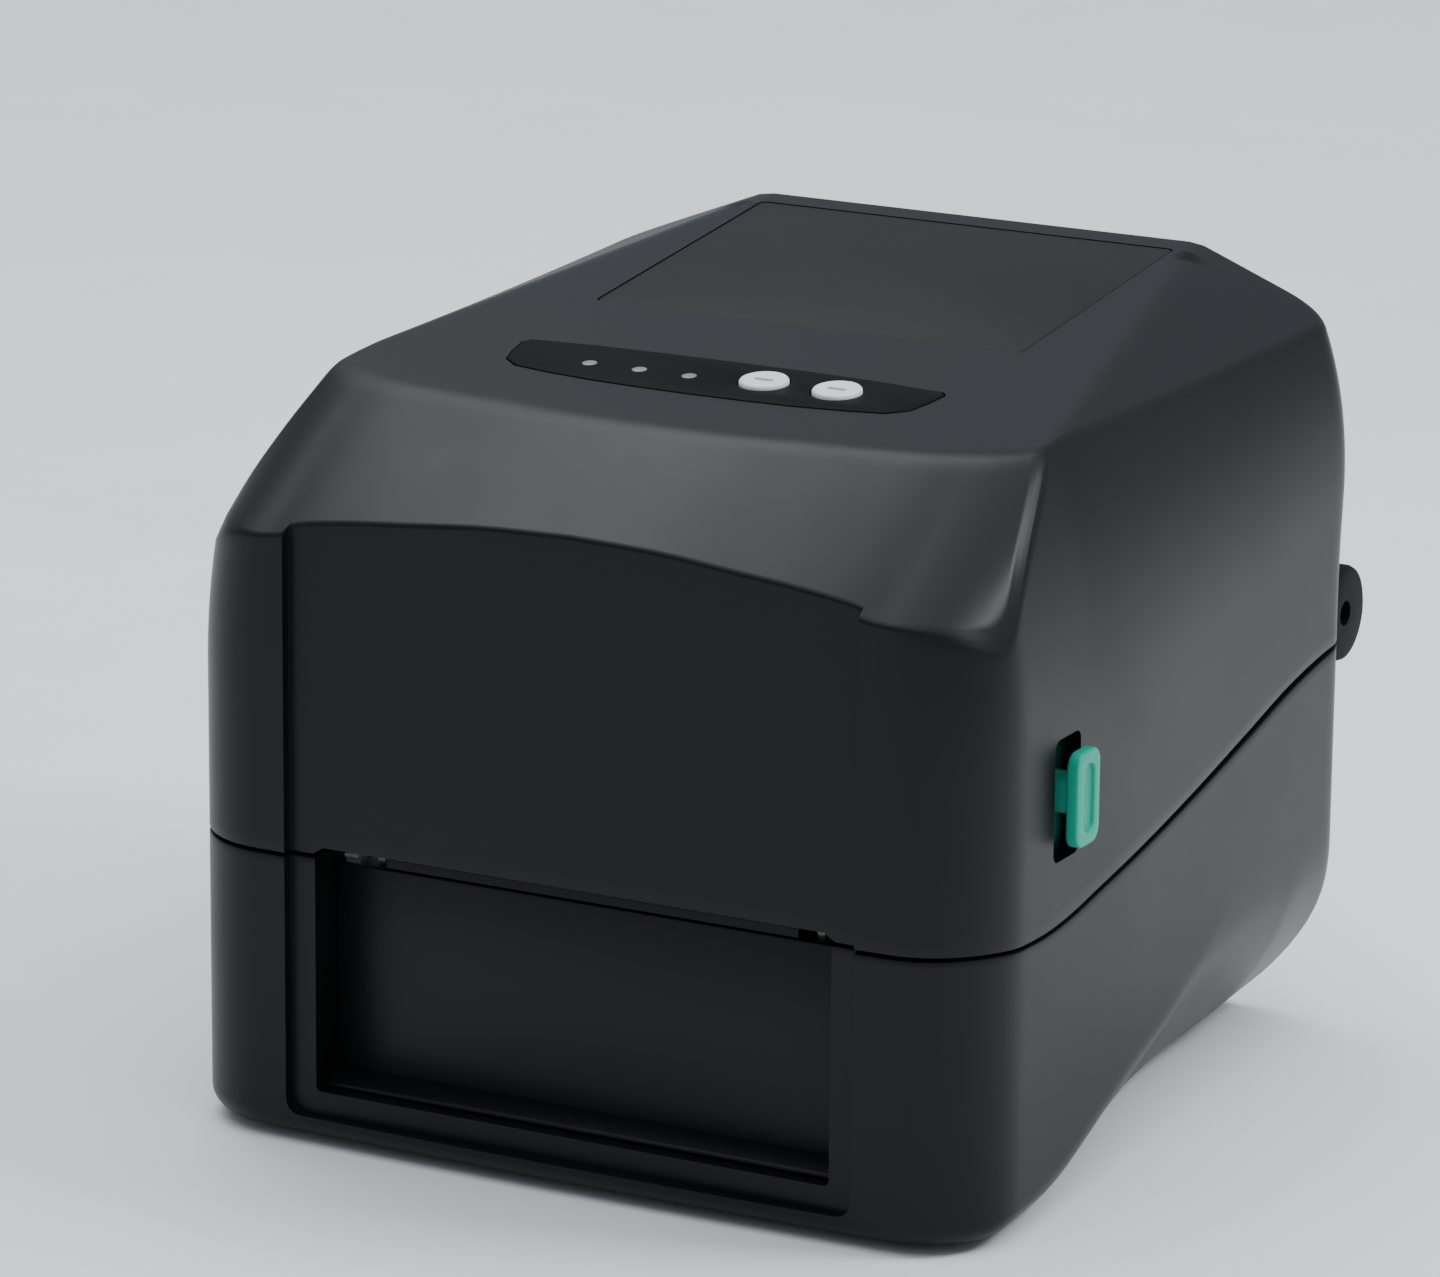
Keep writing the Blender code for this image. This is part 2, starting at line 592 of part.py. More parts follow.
def make_deck():
    t = DECK_THICK
    top = [(-83.0, DECK_FRONT_Z), (-38.0, DECK_FRONT_Z), (-24.0, DECK_FLOOR_Z), (92.0, DECK_FLOOR_Z),
           (95.0, 60.0), (95.0, 90.0)]
    low = [(97.0, 90.0), (97.0, 60.0), (93.6, DECK_FLOOR_Z - t), (-25.0, DECK_FLOOR_Z - t),
           (-39.0, DECK_FRONT_Z - t), (-83.0, DECK_FRONT_Z - t)]
    deck = prism("media_deck", top + low, -DECK_HALF + 14, DECK_HALF - 14)
    for side in (-1.0, 1.0):
        a, b = sorted((side * (DECK_HALF - 16.0), side * (DECK_HALF - 13.0)))
        wall = prism("wall", [(-83.0, DECK_FRONT_Z - t), (-39.0, DECK_FRONT_Z - t), (-25.0, DECK_FLOOR_Z - t),
                              (93.6, DECK_FLOOR_Z - t), (97.0, 60.0), (97.0, 90.0), (38.0, 86.0),
                              (-23.0, 76.0), (-50.0, 73.0), (-83.0, 72.0)], a, b)
        join(deck, wall)
    cut(deck, box("gears", GEAR_X - GEAR_THICK - 1.5, -CHASSIS_X - SHEET, -90, -58, 40, 75))
    rail = box("slot", -66, 66, GUIDE_Y - 3.3, GUIDE_Y + 3.3, DECK_FLOOR_Z - 6, DECK_FLOOR_Z + 2)
    cut(deck, rail)
    return finish(deck, "grey_plastic")


GUIDE_Y = 30.0
GUIDE_TOP = 112.0
RACK_REACH = 20.0
RACK_Z = DECK_FLOOR_Z - 8.0


def make_guides():
    """Two self-centring roll guides on racks under the deck, driven by one pinion."""
    pitch = GEAR_MODULE * GUIDE_PINION_TEETH / 2.0
    step = math.pi * GEAR_MODULE
    for name, side in (("media_guide_left", -1.0), ("media_guide_right", 1.0)):
        x0 = side * (GUIDE_HALF + GUIDE_THICK / 2)
        low, high = x0 - GUIDE_THICK / 2, x0 + GUIDE_THICK / 2
        wide = [(GUIDE_Y - 34, DECK_FLOOR_Z + 0.5), (GUIDE_Y + 34, DECK_FLOOR_Z + 0.5), (GUIDE_Y + 34, 62.0),
                (GUIDE_Y + 16, GUIDE_TOP - 6), (GUIDE_Y + 8, GUIDE_TOP), (GUIDE_Y - 8, GUIDE_TOP),
                (GUIDE_Y - 16, GUIDE_TOP - 6), (GUIDE_Y - 34, 62.0)]
        plate = prism(name, wide, low, high)
        hub_low, hub_high = sorted((side * (GUIDE_HALF - 7.0), side * (GUIDE_HALF + 1.0)))
        hub = rod("hub", 11.0, hub_low, hub_high, "X", GUIDE_Y, 98.0, 24)
        join(plate, hub)
        rack_y = GUIDE_Y - side * (pitch + 3.0)
        stem_low, stem_high = sorted((x0 - 5.0, x0 + 5.0))
        join(plate, box("stem", stem_low, stem_high, GUIDE_Y - 3.0, GUIDE_Y + 3.0, RACK_Z - 2.0,
                        DECK_FLOOR_Z + 2))
        y0, y1 = sorted((GUIDE_Y, rack_y + (-side) * 2.0))
        join(plate, box("arm", stem_low, stem_high, y0, y1, RACK_Z - 2.0, RACK_Z + 2.0))
        r0, r1 = sorted((x0 + side * 4.0, -side * RACK_REACH))
        tooth_root = GUIDE_Y - side * (pitch + 1.1 * GEAR_MODULE)
        y0, y1 = sorted((tooth_root, rack_y - side * 2.0))
        join(plate, box("bar", r0, r1, y0, y1, RACK_Z - 2.0, RACK_Z + 2.0))
        base_y = tooth_root - side * 1.2
        tip_y = GUIDE_Y - side * (pitch - 0.8 * GEAR_MODULE)
        outline = [(r0 + 2.0, base_y), (r0 + 2.0, tooth_root)]
        first = math.ceil((r0 + 3.5) / step - 0.5)
        last = math.floor((r1 - 3.5) / step - 0.5)
        for i in range(first, last + 1):
            x = (i + 0.5) * step
            outline += [(x - 0.33 * step, tooth_root), (x - 0.12 * step, tip_y),
                        (x + 0.12 * step, tip_y), (x + 0.33 * step, tooth_root)]
        outline += [(r1 - 2.0, tooth_root), (r1 - 2.0, base_y)]
        join(plate, prism("teeth", outline, RACK_Z - 1.5, RACK_Z + 1.5, "Z"))
        finish(pivot(plate, x0, GUIDE_Y, DECK_FLOOR_Z), "grey_plastic")
    points = gear_outline(GUIDE_PINION_TEETH)
    wheel = prism("guide_pinion", points, RACK_Z - 2.0, RACK_Z + 2.0, "Z")
    join(wheel, rod("axle", 2.0, RACK_Z - 12.0, RACK_Z + 3.5, "Z", 0, 0, 12))
    at(wheel, 0.0, GUIDE_Y)
    finish(pivot(wheel, 0, GUIDE_Y, RACK_Z), "acetal")


def make_front():
    y0 = RECESS_Y + BEZEL_DEPTH
    half = BEZEL_HALF - FIT
    bezel = box("front_bezel", -half, half, y0 - 0.8, y0 + 1.2, BEZEL_BOTTOM_Z + FIT, 72.0)
    finish(bezel, "casing")
    bar = prism("tear_bar", [(y0 - 0.3, 72.4), (y0 + 3.4, 72.4), (y0 + 3.4, 73.4), (y0 + 0.6, 74.6),
                             (y0 - 0.3, 74.6)],
                -58.0, 58.0)
    finish(bar, "steel")
    rail = rod("sensor_rail", 2.5, -CHASSIS_X - 10.0, CHASSIS_X + 10.0, "X", -56.0, 67.0, 12)
    finish(rail, "steel")
    sensor = box("gap_sensor", -8.0, 8.0, -62.0, -50.0, DECK_FRONT_Z + 1.0, 73.0)
    cut(sensor, rod("bore", 2.8, -20, 20, "X", -56.0, 67.0, 12))
    finish(pivot(sensor, 0, -56.0, 67.0), "grey_plastic")


def make_electronics():
    board = box("main_board", -64.0, 46.0, 8.0, 94.0, BOARD_Z - 1.6, BOARD_Z)
    for x0, x1, y0, y1, high in ((-30, -10, 30, 50, 3.0), (10, 28, 20, 40, 2.0), (30, 40, 48, 66, 9.0),
                                 (-54, -40, 52, 60, 12.0)):
        join(board, box("chip", x0, x1, y0, y1, BOARD_Z - 0.5, BOARD_Z + high))
    for x in (-58.0, 40.0):
        for y in (14.0, 74.0):
            join(board, rod("post", 3.0, BODY_BOTTOM + WALL + 0.2, BOARD_Z - 1.0, "Z", x, y, 12))
    finish(board, "board")
    depth = {"dc_inlet": 12.0, "serial_port": 10.0, "lan_port": 16.0, "usb_port": 14.0,
             "switch_housing": 14.0}
    kinds = {"dc_inlet": "panel", "serial_port": "zinc", "lan_port": "zinc", "usb_port": "zinc",
             "switch_housing": "panel"}
    for name, (x0, x1, z0, z1) in PORTS.items():
        low = BOARD_Z + 0.3 if name != "switch_housing" else z0
        port = box(name, x0, x1, REAR_Y - depth[name], REAR_Y - 0.3, max(low, z0), z1)
        if name == "dc_inlet":
            cut(port, rod("jack", 3.2, REAR_Y - 10, REAR_Y + 5, "Y", (x0 + x1) / 2, (z0 + z1) / 2, 16))
        elif name == "switch_housing":
            cut(port, box("well", x0 + 1.5, x1 - 1.5, REAR_Y - 9, REAR_Y + 5, z0 + 1.5, z1 - 1.5))
        else:
            cut(port, box("well", x0 + 1.2, x1 - 1.2, REAR_Y - 8, REAR_Y + 5, max(low, z0) + 1.2, z1 - 1.2))
        finish(port, kinds[name])
    x0, x1, z0, z1 = PORTS["switch_housing"]
    middle = (z0 + z1) / 2
    half = (z1 - z0) / 2 - 2.6
    rocker = prism("power_rocker", [(REAR_Y - 6.5, middle - half + 1.5), (REAR_Y - 0.6, middle - half),
                                    (REAR_Y - 1.6, middle), (REAR_Y + 0.6, middle + half - 0.4),
                                    (REAR_Y - 5.5, middle + half - 2.2)], x0 + 1.9, x1 - 1.9)
    finish(pivot(rocker, (x0 + x1) / 2, REAR_Y - 5.0, middle), "panel")
    feet = ("foot_front_left", "foot_front_right", "foot_rear_left", "foot_rear_right")
    for (x, y), name in zip(FEET, feet):
        finish(rod(name, FOOT_RADIUS, 0.0, 3.1, "Z", x, y, 24, FOOT_RADIUS), "rubber")
    for side, name in ((-1.0, "hinge_pin_left"), (1.0, "hinge_pin_right")):
        low, high = sorted((side * (LUG_INNER_X - 11.0), side * (LUG_INNER_X + LUG_WIDTH + 11.0)))
        finish(rod(name, HINGE_PIN_RADIUS, low, high, "X", HINGE_Y, HINGE_Z, 16), "steel")
    for side, name in ((-1.0, "catch_post_left"), (1.0, "catch_post_right")):
        low, high = sorted((side * (LEVER_X - 3.0), side * (HALF_WIDTH - WALL - 0.3)))
        post = rod(name, 2.5, low, high, "X", CATCH_Y, CATCH_Z, 16)
        low, high = sorted((side * (HALF_WIDTH - WALL - 2.8), side * (HALF_WIDTH - WALL - 0.3)))
        join(post, box("plate", low, high, CATCH_Y - 5, CATCH_Y + 5, CATCH_Z - 14, CATCH_Z + 4))
        finish(post, "steel")


# ---------------------------------------------------------------- cover contents
def make_window():
    depth = WINDOW_REAR_Y - WINDOW_FRONT_Y
    pane = box("window_pane", -WINDOW_HALF, WINDOW_HALF, 0, depth, -WINDOW_THICK, 0)
    finish(tilted(pane, WINDOW_FRONT_Y), "smoked")


def make_panel():
    panel = prism("control_panel", panel_outline(0.0), -PANEL_THICK, 0.0, "Z")
    for x in KEY_X:
        cut(panel, at(rod("hole", KEY_RADIUS + FIT, -12, 9, "Z", 0, 0, 28), x, KEY_Y - PANEL_Y))
    for x in LED_X:
        cut(panel, at(rod("hole", LED_RADIUS + 0.05, -12, 9, "Z", 0, 0, 16), x, LED_Y - PANEL_Y))
    finish(tilted(panel, PANEL_Y), "panel")
    for name, x in zip(("feed_key", "pause_key"), KEY_X):
        key = rod(name, KEY_RADIUS, -6.0, 1.2, "Z", 0, 0, 28)
        join(key, rod("flange", KEY_RADIUS + 2.0, -7.0, -5.4, "Z", 0, 0, 28))
        tilted(at(key, x, KEY_Y - PANEL_Y), PANEL_Y)
        finish(pivot(key, x, KEY_Y, roof_z(KEY_Y)), "white_key")
    for i, x in enumerate(LED_X):
        light = rod(f"led_pipe_{i + 1}", LED_RADIUS, -8.5, 0.0, "Z", 0, 0, 16)
        finish(tilted(at(light, x, LED_Y - PANEL_Y), PANEL_Y), "led")
    board = box("key_board", -48.0, 48.0, -9.0, 9.0, -10.4, -8.8)
    finish(tilted(board, PANEL_Y), "board")


def make_head():
    outline = [(-104.0, 96.0), (-92.0, 88.0), (-40.0, 100.0), (-16.0, 140.0), (-16.0, 170.0), (-60.0, 170.0),
               (-98.0, 156.0)]
    for name, side in (("ribbon_frame_left", -1.0), ("ribbon_frame_right", 1.0)):
        low, high = sorted((side * (FRAME_X - SHEET / 2), side * (FRAME_X + SHEET / 2)))
        plate = prism(name, outline, low, high)
        for y, z in ((SUPPLY_Y, SUPPLY_Z), (TAKEUP_Y, TAKEUP_Z)):
            cut(plate, rod("hole", SPINDLE_RADIUS - 1.7, low - 2, high + 2, "X", y, z, 16))
        cut(plate, rod("hole", 2.3, low - 2, high + 2, "X", HEAD_Y, HEAD_Z, 12),
            rod("hole", 3.4, low - 2, high + 2, "X", LEVER_PIVOT_Y, LEVER_PIVOT_Z, 16))
        if side < 0:
            cut(plate, rod("hole", 3.2, low - 2, high + 2, "X", RIBBON_MOTOR_Y, RIBBON_MOTOR_Z, 12))
        finish(plate, "zinc")
    between = FRAME_X - SHEET / 2 - FIT
    bar = box("frame_crossbar", -between, between, -57.0, -49.0, 160.0, 169.0)
    finish(bar, "zinc")
    seat = box("spring_bar", -between, between, -97.0, -87.0, 106.4, 108.4)
    finish(seat, "zinc")
    guide = rod("ribbon_guide_bar", 2.5, -between, between, "X", -101.5, 99.0, 12)
    finish(guide, "steel")
    motor = rod("ribbon_motor", 7.0, -FRAME_X + SHEET / 2 + FIT, -FRAME_X + 26, "X", RIBBON_MOTOR_Y,
                RIBBON_MOTOR_Z, 24)
    cut(motor, rod("bore", 1.8, -FRAME_X - 5, -FRAME_X + 8, "X", RIBBON_MOTOR_Y, RIBBON_MOTOR_Z, 12))
    finish(motor, "zinc")


HEAD_Y = -52.0
HEAD_Z = 112.0


def make_print_head():
    """The head hangs from a pivot bar behind it and swings down on to the platen."""
    half = FRAME_X - SHEET / 2 - 2.0
    profile = [(HEAD_Y - 4.0, HEAD_Z - 4.0), (HEAD_Y + 4.0, HEAD_Z - 4.0), (HEAD_Y + 4.0, HEAD_Z + 4.0),
               (HEAD_Y - 4.0, HEAD_Z + 4.0), (-82.0, 91.0), (-102.0, 91.0), (-102.0, 88.0), (-80.0, 88.0)]
    arm = prism("head_bracket", profile, -half + 6, half - 6)
    join(arm, rod("pivot", 2.0, -FRAME_X - 2.5, FRAME_X + 2.5, "X", HEAD_Y, HEAD_Z, 12))
    finish(pivot(arm, 0, HEAD_Y, HEAD_Z), "zinc")
    sink = box("heat_sink", -55.0, 55.0, -102.0, -82.0, 79.3, 87.7)
    finish(pivot(sink, 0, HEAD_Y, HEAD_Z), "aluminium")
    head = prism("thermal_head", [(-104.0, 76.3), (-86.0, 76.3), (-86.0, 79.0), (-104.0, 79.0)], -57.0, 57.0)
    finish(pivot(head, 0, HEAD_Y, HEAD_Z), "ceramic")
    for side, name in ((-1.0, "head_spring_left"), (1.0, "head_spring_right")):
        finish(coil(name, side * 34.0, -92.0, 91.4, 106.0, 4.0, 0.6, 4), "steel")


def coil(name, x, y, low, high, radius, wire, turns):
    """A compression spring drawn as a bevelled curve."""
    curve = bpy.data.curves.new(name, "CURVE")
    curve.dimensions = "3D"
    curve.bevel_depth = wire * MM
    curve.bevel_resolution = 0
    curve.use_fill_caps = True
    steps = turns * 10
    line = curve.splines.new("POLY")
    line.points.add(steps)
    for i in range(steps + 1):
        a = 2.0 * math.pi * i / 10.0
        z = low + wire + (high - low - 2.0 * wire) * i / steps
        spot = Vector((x + radius * math.cos(a), y + radius * math.sin(a), z)) * MM
        line.points[i].co = (*spot, 1.0)
    temp = bpy.data.objects.new(name, curve)
    PRINTER.objects.link(temp)
    bpy.context.view_layer.update()
    graph = bpy.context.evaluated_depsgraph_get()
    mesh = bpy.data.meshes.new_from_object(temp.evaluated_get(graph))
    bpy.data.objects.remove(temp)
    bpy.data.curves.remove(curve)
    made = bpy.data.objects.new(name, mesh)
    PRINTER.objects.link(made)
    return made


def make_ribbon():
    reach = FRAME_X + SHEET / 2
    for name, y, z in (("ribbon_supply_spindle", SUPPLY_Y, SUPPLY_Z),
                       ("ribbon_take_up_spindle", TAKEUP_Y, TAKEUP_Z)):
        core = rod(name, SPINDLE_RADIUS, -FRAME_X + 3.0, FRAME_X - 3.0, "X", y, z, 20)
        for i in range(3):
            a = 2.0 * math.pi * i / 3.0 + 0.4
            fin = box("fin", -FRAME_X + 5, FRAME_X - 8, -0.8, 0.8, 3.0, 10.5)
            fin.data.transform(Matrix.Rotation(a, 4, "X"))
            join(core, at(fin, 0, y, z))
        join(core, rod("flange", 11.5, -FRAME_X + 4.0, -FRAME_X + 6.5, "X", y, z, 24))
        join(core, rod("journal", SPINDLE_RADIUS - 2.0, -reach - 3.0, reach + 3.0, "X", y, z, 16))
        if name == "ribbon_take_up_spindle":
            low = -reach - 6.5
            join(core, gear("wheel", TAKEUP_TEETH, low, low + GEAR_THICK, y, z))
        finish(pivot(core, 0, y, z), "acetal")
    turn = mesh_turn(TAKEUP_TEETH, 0.0, RIBBON_PINION_TEETH, math.radians(RIBBON_BEARING))
    low = -reach - 6.5
    pinion = gear("ribbon_pinion", RIBBON_PINION_TEETH, low, low + GEAR_THICK, RIBBON_MOTOR_Y,
                  RIBBON_MOTOR_Z, turn)
    join(pinion, rod("shaft", 1.5, low + 1.0, -FRAME_X + 7.0, "X", RIBBON_MOTOR_Y, RIBBON_MOTOR_Z, 12))
    finish(pivot(pinion, low, RIBBON_MOTOR_Y, RIBBON_MOTOR_Z), "steel")


def make_latch():
    for side, name in ((-1.0, "latch_lever_left"), (1.0, "latch_lever_right")):
        low, high = sorted((side * (LEVER_X - LEVER_THICK / 2), side * (LEVER_X + LEVER_THICK / 2)))
        profile = [(-69.0, 62.0), (-52.5, 62.0), (-54.5, 66.4), (-59.6, 66.9), (-59.6, 80.0), (-56.5, 96.0),
                   (-56.5, 132.0), (-56.0, 138.0), (-59.0, 144.0), (-65.0, 144.0), (-68.0, 138.0),
                   (-68.0, 132.0), (-67.0, 96.0), (-69.0, 80.0)]
        lever = prism(name, profile, low, high)
        low, high = sorted((side * (LEVER_X - 1.0), side * (HALF_WIDTH + 2.5)))
        join(lever, box("web", low, high, TAB_Y - 4.0, TAB_Y + 5.0, TAB_BOTTOM_Z + 8.2, TAB_TOP_Z - 7.3))
        low, high = sorted((side * (HALF_WIDTH + 1.2), side * (HALF_WIDTH + TAB_OUT)))
        tab = prism("tab", [(TAB_Y - TAB_WIDTH / 2, TAB_BOTTOM_Z + 3),
                            (TAB_Y - TAB_WIDTH / 2 + 1.5, TAB_BOTTOM_Z),
                            (TAB_Y + TAB_WIDTH / 2 - 1.5, TAB_BOTTOM_Z),
                            (TAB_Y + TAB_WIDTH / 2, TAB_BOTTOM_Z + 3),
                            (TAB_Y + TAB_WIDTH / 2, TAB_TOP_Z - 3), (TAB_Y + TAB_WIDTH / 2 - 1.5, TAB_TOP_Z),
                            (TAB_Y - TAB_WIDTH / 2 + 1.5, TAB_TOP_Z), (TAB_Y - TAB_WIDTH / 2, TAB_TOP_Z - 3)],
                    low, high)
        join(lever, tab)
        cut(lever, rod("bore", 3.05, -130, 130, "X", LEVER_PIVOT_Y, LEVER_PIVOT_Z, 16))
        finish(pivot(lever, side * LEVER_X, LEVER_PIVOT_Y, LEVER_PIVOT_Z), "teal")
    reach = LEVER_X + LEVER_THICK / 2 + 0.5
    shaft = rod("latch_shaft", 3.0, -reach, reach, "X", LEVER_PIVOT_Y, LEVER_PIVOT_Z, 16)
    finish(pivot(shaft, 0, LEVER_PIVOT_Y, LEVER_PIVOT_Z), "steel")


for leftover in list(bpy.data.objects):
    bpy.data.objects.remove(leftover)
PRINTER = collection("label_printer")
make_cover()
make_base()
make_front()
make_deck()
make_chassis()
make_drive()
make_guides()
make_electronics()
make_window()
make_panel()
make_head()
make_print_head()
make_ribbon()
make_latch()
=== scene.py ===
"""Desktop label printer with a moulded clamshell casing, as a Blender add-on run from a script."""

import json
import math

import bmesh
import bpy
import numpy as np
from mathutils import Matrix, Vector


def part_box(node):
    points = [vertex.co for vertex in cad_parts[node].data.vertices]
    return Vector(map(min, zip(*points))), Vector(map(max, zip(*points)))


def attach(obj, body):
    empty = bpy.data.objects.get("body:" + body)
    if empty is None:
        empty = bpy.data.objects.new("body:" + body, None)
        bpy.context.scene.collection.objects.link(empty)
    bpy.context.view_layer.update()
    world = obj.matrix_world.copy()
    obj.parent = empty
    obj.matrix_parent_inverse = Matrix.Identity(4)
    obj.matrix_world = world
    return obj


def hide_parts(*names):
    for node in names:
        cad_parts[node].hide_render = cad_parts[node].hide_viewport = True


bl_info = {
    "name": "Label Printer",
    "version": (1, 0, 0),
    "blender": (4, 5, 0),
    "location": "View3D > Sidebar > Printer",
    "description": "Builds a desktop label printer with a hinged cover",
    "category": "Add Mesh",
}

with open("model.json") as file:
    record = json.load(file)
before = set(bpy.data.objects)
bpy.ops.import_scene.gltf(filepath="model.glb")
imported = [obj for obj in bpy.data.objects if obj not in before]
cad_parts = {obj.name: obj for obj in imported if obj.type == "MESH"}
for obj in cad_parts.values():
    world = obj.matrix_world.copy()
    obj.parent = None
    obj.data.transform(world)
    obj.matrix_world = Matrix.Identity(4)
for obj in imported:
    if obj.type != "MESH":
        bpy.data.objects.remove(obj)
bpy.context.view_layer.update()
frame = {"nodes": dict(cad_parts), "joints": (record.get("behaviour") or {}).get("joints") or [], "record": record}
MM = 0.001
HALF_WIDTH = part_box("cover_shell")[1].x
RECESS_Y = -0.118
HINGE = next(j for j in frame["joints"] if j["name"] == "cover_hinge")["pos_m"]


# ------------------------------------------------------------------ settings
def size(name, note, default, low=0.0):
    return bpy.props.FloatProperty(name=name, description=note, default=default, min=low, unit="LENGTH",
                                   precision=5)


def paint(name, note, default):
    return bpy.props.FloatVectorProperty(name=name, description=note, default=default, min=0.0, max=1.0,
                                         subtype="COLOR", size=3)


class PrinterSizes(bpy.types.PropertyGroup):
    wall: size("Wall", "Thickness of the casing wall", 0.003)
    seam_gap: size("Seam gap", "Gap between cover and base", 0.0009)
    front_corner: size("Front corner", "Radius of the upright front corners", 0.025)
    rear_corner: size("Rear corner", "Radius of the upright rear corners", 0.012)
    edge_round: size("Edge round", "Rounding of the edge between the sloping front and the side", 0.0022)
    front_round: size("Front round", "Rounding of the front and recess edges", 0.0010)
    foot_round: size("Lower round", "Rounding of the bottom edge", 0.006)
    recess_half: size("Recess half width", "Half width of the front recess", 0.0794)
    grain: size("Grain", "Size of the moulded plastic's grain", 0.0006)


class PrinterColours(bpy.types.PropertyGroup):
    casing: paint("Casing", "Charcoal casing plastic", (0.0052, 0.0056, 0.0064))
    window: paint("Window", "Smoked window", (0.011, 0.0100, 0.0112))
    panel: paint("Panel", "Key panel", (0.0025, 0.0025, 0.0027))
    latch: paint("Latch", "Latch tabs", (0.002, 0.34, 0.235))
    keys: paint("Keys", "Key caps", (0.82, 0.84, 0.86))
    lights: paint("Lights", "Status lights", (0.20, 0.22, 0.23))
    floor: paint("Floor", "Floor and backdrop", (0.93, 0.93, 0.93))


# ------------------------------------------------------------------ materials
def new_material(name):
    made = bpy.data.materials.new(name)
    made.use_nodes = True
    shader = made.node_tree.nodes["Principled BSDF"]
    return made, made.node_tree, shader


def link(tree, a, b):
    tree.links.new(a, b)


def noise(tree, scale, detail=3.0, rough=0.55):
    coords = tree.nodes.new("ShaderNodeTexCoord")
    made = tree.nodes.new("ShaderNodeTexNoise")
    made.inputs["Scale"].default_value = scale
    made.inputs["Detail"].default_value = detail
    made.inputs["Roughness"].default_value = rough
    link(tree, coords.outputs["Object"], made.inputs["Vector"])
    return made


def ramp(tree, source, low, high, out_low, out_high):
    made = tree.nodes.new("ShaderNodeMapRange")
    made.inputs["From Min"].default_value = low
    made.inputs["From Max"].default_value = high
    made.inputs["To Min"].default_value = out_low
    made.inputs["To Max"].default_value = out_high
    link(tree, source, made.inputs["Value"])
    return made.outputs["Result"]


def tinted(tree, source, dark, light):
    made = tree.nodes.new("ShaderNodeValToRGB")
    made.color_ramp.elements[0].position = 0.35
    made.color_ramp.elements[1].position = 0.65
    made.color_ramp.elements[0].color = (*dark, 1.0)
    made.color_ramp.elements[1].color = (*light, 1.0)
    link(tree, source, made.inputs["Fac"])
    return made.outputs["Color"]


def plastic(name, colour, rough, grain=0.0006, depth=0.00002, vary=0.06, coat=0.0, ior=1.48):
    """Moulded plastic: fine grain in the surface, cloudy gloss and a faint change of shade."""
    made, tree, shader = new_material(name)
    cloud = noise(tree, 14.0, 4.0)
    fine = noise(tree, 1.0 / grain, 2.0)
    dark = [c * (1.0 - vary) for c in colour]
    light = [min(1.0, c * (1.0 + vary)) for c in colour]
    link(tree, tinted(tree, cloud.outputs["Fac"], dark, light), shader.inputs["Base Color"])
    gloss = ramp(tree, cloud.outputs["Fac"], 0.3, 0.7, rough - 0.03, rough + 0.04)
    link(tree, gloss, shader.inputs["Roughness"])
    bump = tree.nodes.new("ShaderNodeBump")
    bump.inputs["Strength"].default_value = 0.35
    bump.inputs["Distance"].default_value = depth
    link(tree, fine.outputs["Fac"], bump.inputs["Height"])
    link(tree, bump.outputs["Normal"], shader.inputs["Normal"])
    shader.inputs["IOR"].default_value = ior
    shader.inputs["Coat Weight"].default_value = coat
    shader.inputs["Coat Roughness"].default_value = 0.08
    return made


def metal(name, colour, rough, stretch=(1.0, 40.0, 40.0), depth=0.00002):
    """Sheet or turned metal with fine drawn lines."""
    made, tree, shader = new_material(name)
    coords = tree.nodes.new("ShaderNodeTexCoord")
    mapping = tree.nodes.new("ShaderNodeMapping")
    mapping.inputs["Scale"].default_value = stretch
    lines = tree.nodes.new("ShaderNodeTexNoise")
    lines.inputs["Scale"].default_value = 60.0
    lines.inputs["Detail"].default_value = 4.0
    link(tree, coords.outputs["Object"], mapping.inputs["Vector"])
    link(tree, mapping.outputs["Vector"], lines.inputs["Vector"])
    dark = [c * 0.86 for c in colour]
    link(tree, tinted(tree, lines.outputs["Fac"], dark, colour), shader.inputs["Base Color"])
    gloss = ramp(tree, lines.outputs["Fac"], 0.3, 0.7, rough - 0.06, rough + 0.08)
    link(tree, gloss, shader.inputs["Roughness"])
    bump = tree.nodes.new("ShaderNodeBump")
    bump.inputs["Strength"].default_value = 0.25
    bump.inputs["Distance"].default_value = depth
    link(tree, lines.outputs["Fac"], bump.inputs["Height"])
    link(tree, bump.outputs["Normal"], shader.inputs["Normal"])
    shader.inputs["Metallic"].default_value = 1.0
    return made


def circuit_board(name):
    """Green lacquered board with darker tracks."""
    made, tree, shader = new_material(name)
    coords = tree.nodes.new("ShaderNodeTexCoord")
    cells = tree.nodes.new("ShaderNodeTexVoronoi")
    cells.distance = "CHEBYCHEV"
    cells.feature = "DISTANCE_TO_EDGE"
    cells.inputs["Scale"].default_value = 160.0
    link(tree, coords.outputs["Object"], cells.inputs["Vector"])
    mixed = tree.nodes.new("ShaderNodeValToRGB")
    mixed.color_ramp.elements[0].position = 0.02
    mixed.color_ramp.elements[1].position = 0.06
    mixed.color_ramp.elements[0].color = (0.012, 0.20, 0.085, 1.0)
    mixed.color_ramp.elements[1].color = (0.006, 0.11, 0.045, 1.0)
    link(tree, cells.outputs["Distance"], mixed.inputs["Fac"])
    link(tree, mixed.outputs["Color"], shader.inputs["Base Color"])
    shader.inputs["Roughness"].default_value = 0.35
    return made


MATERIALS = {}


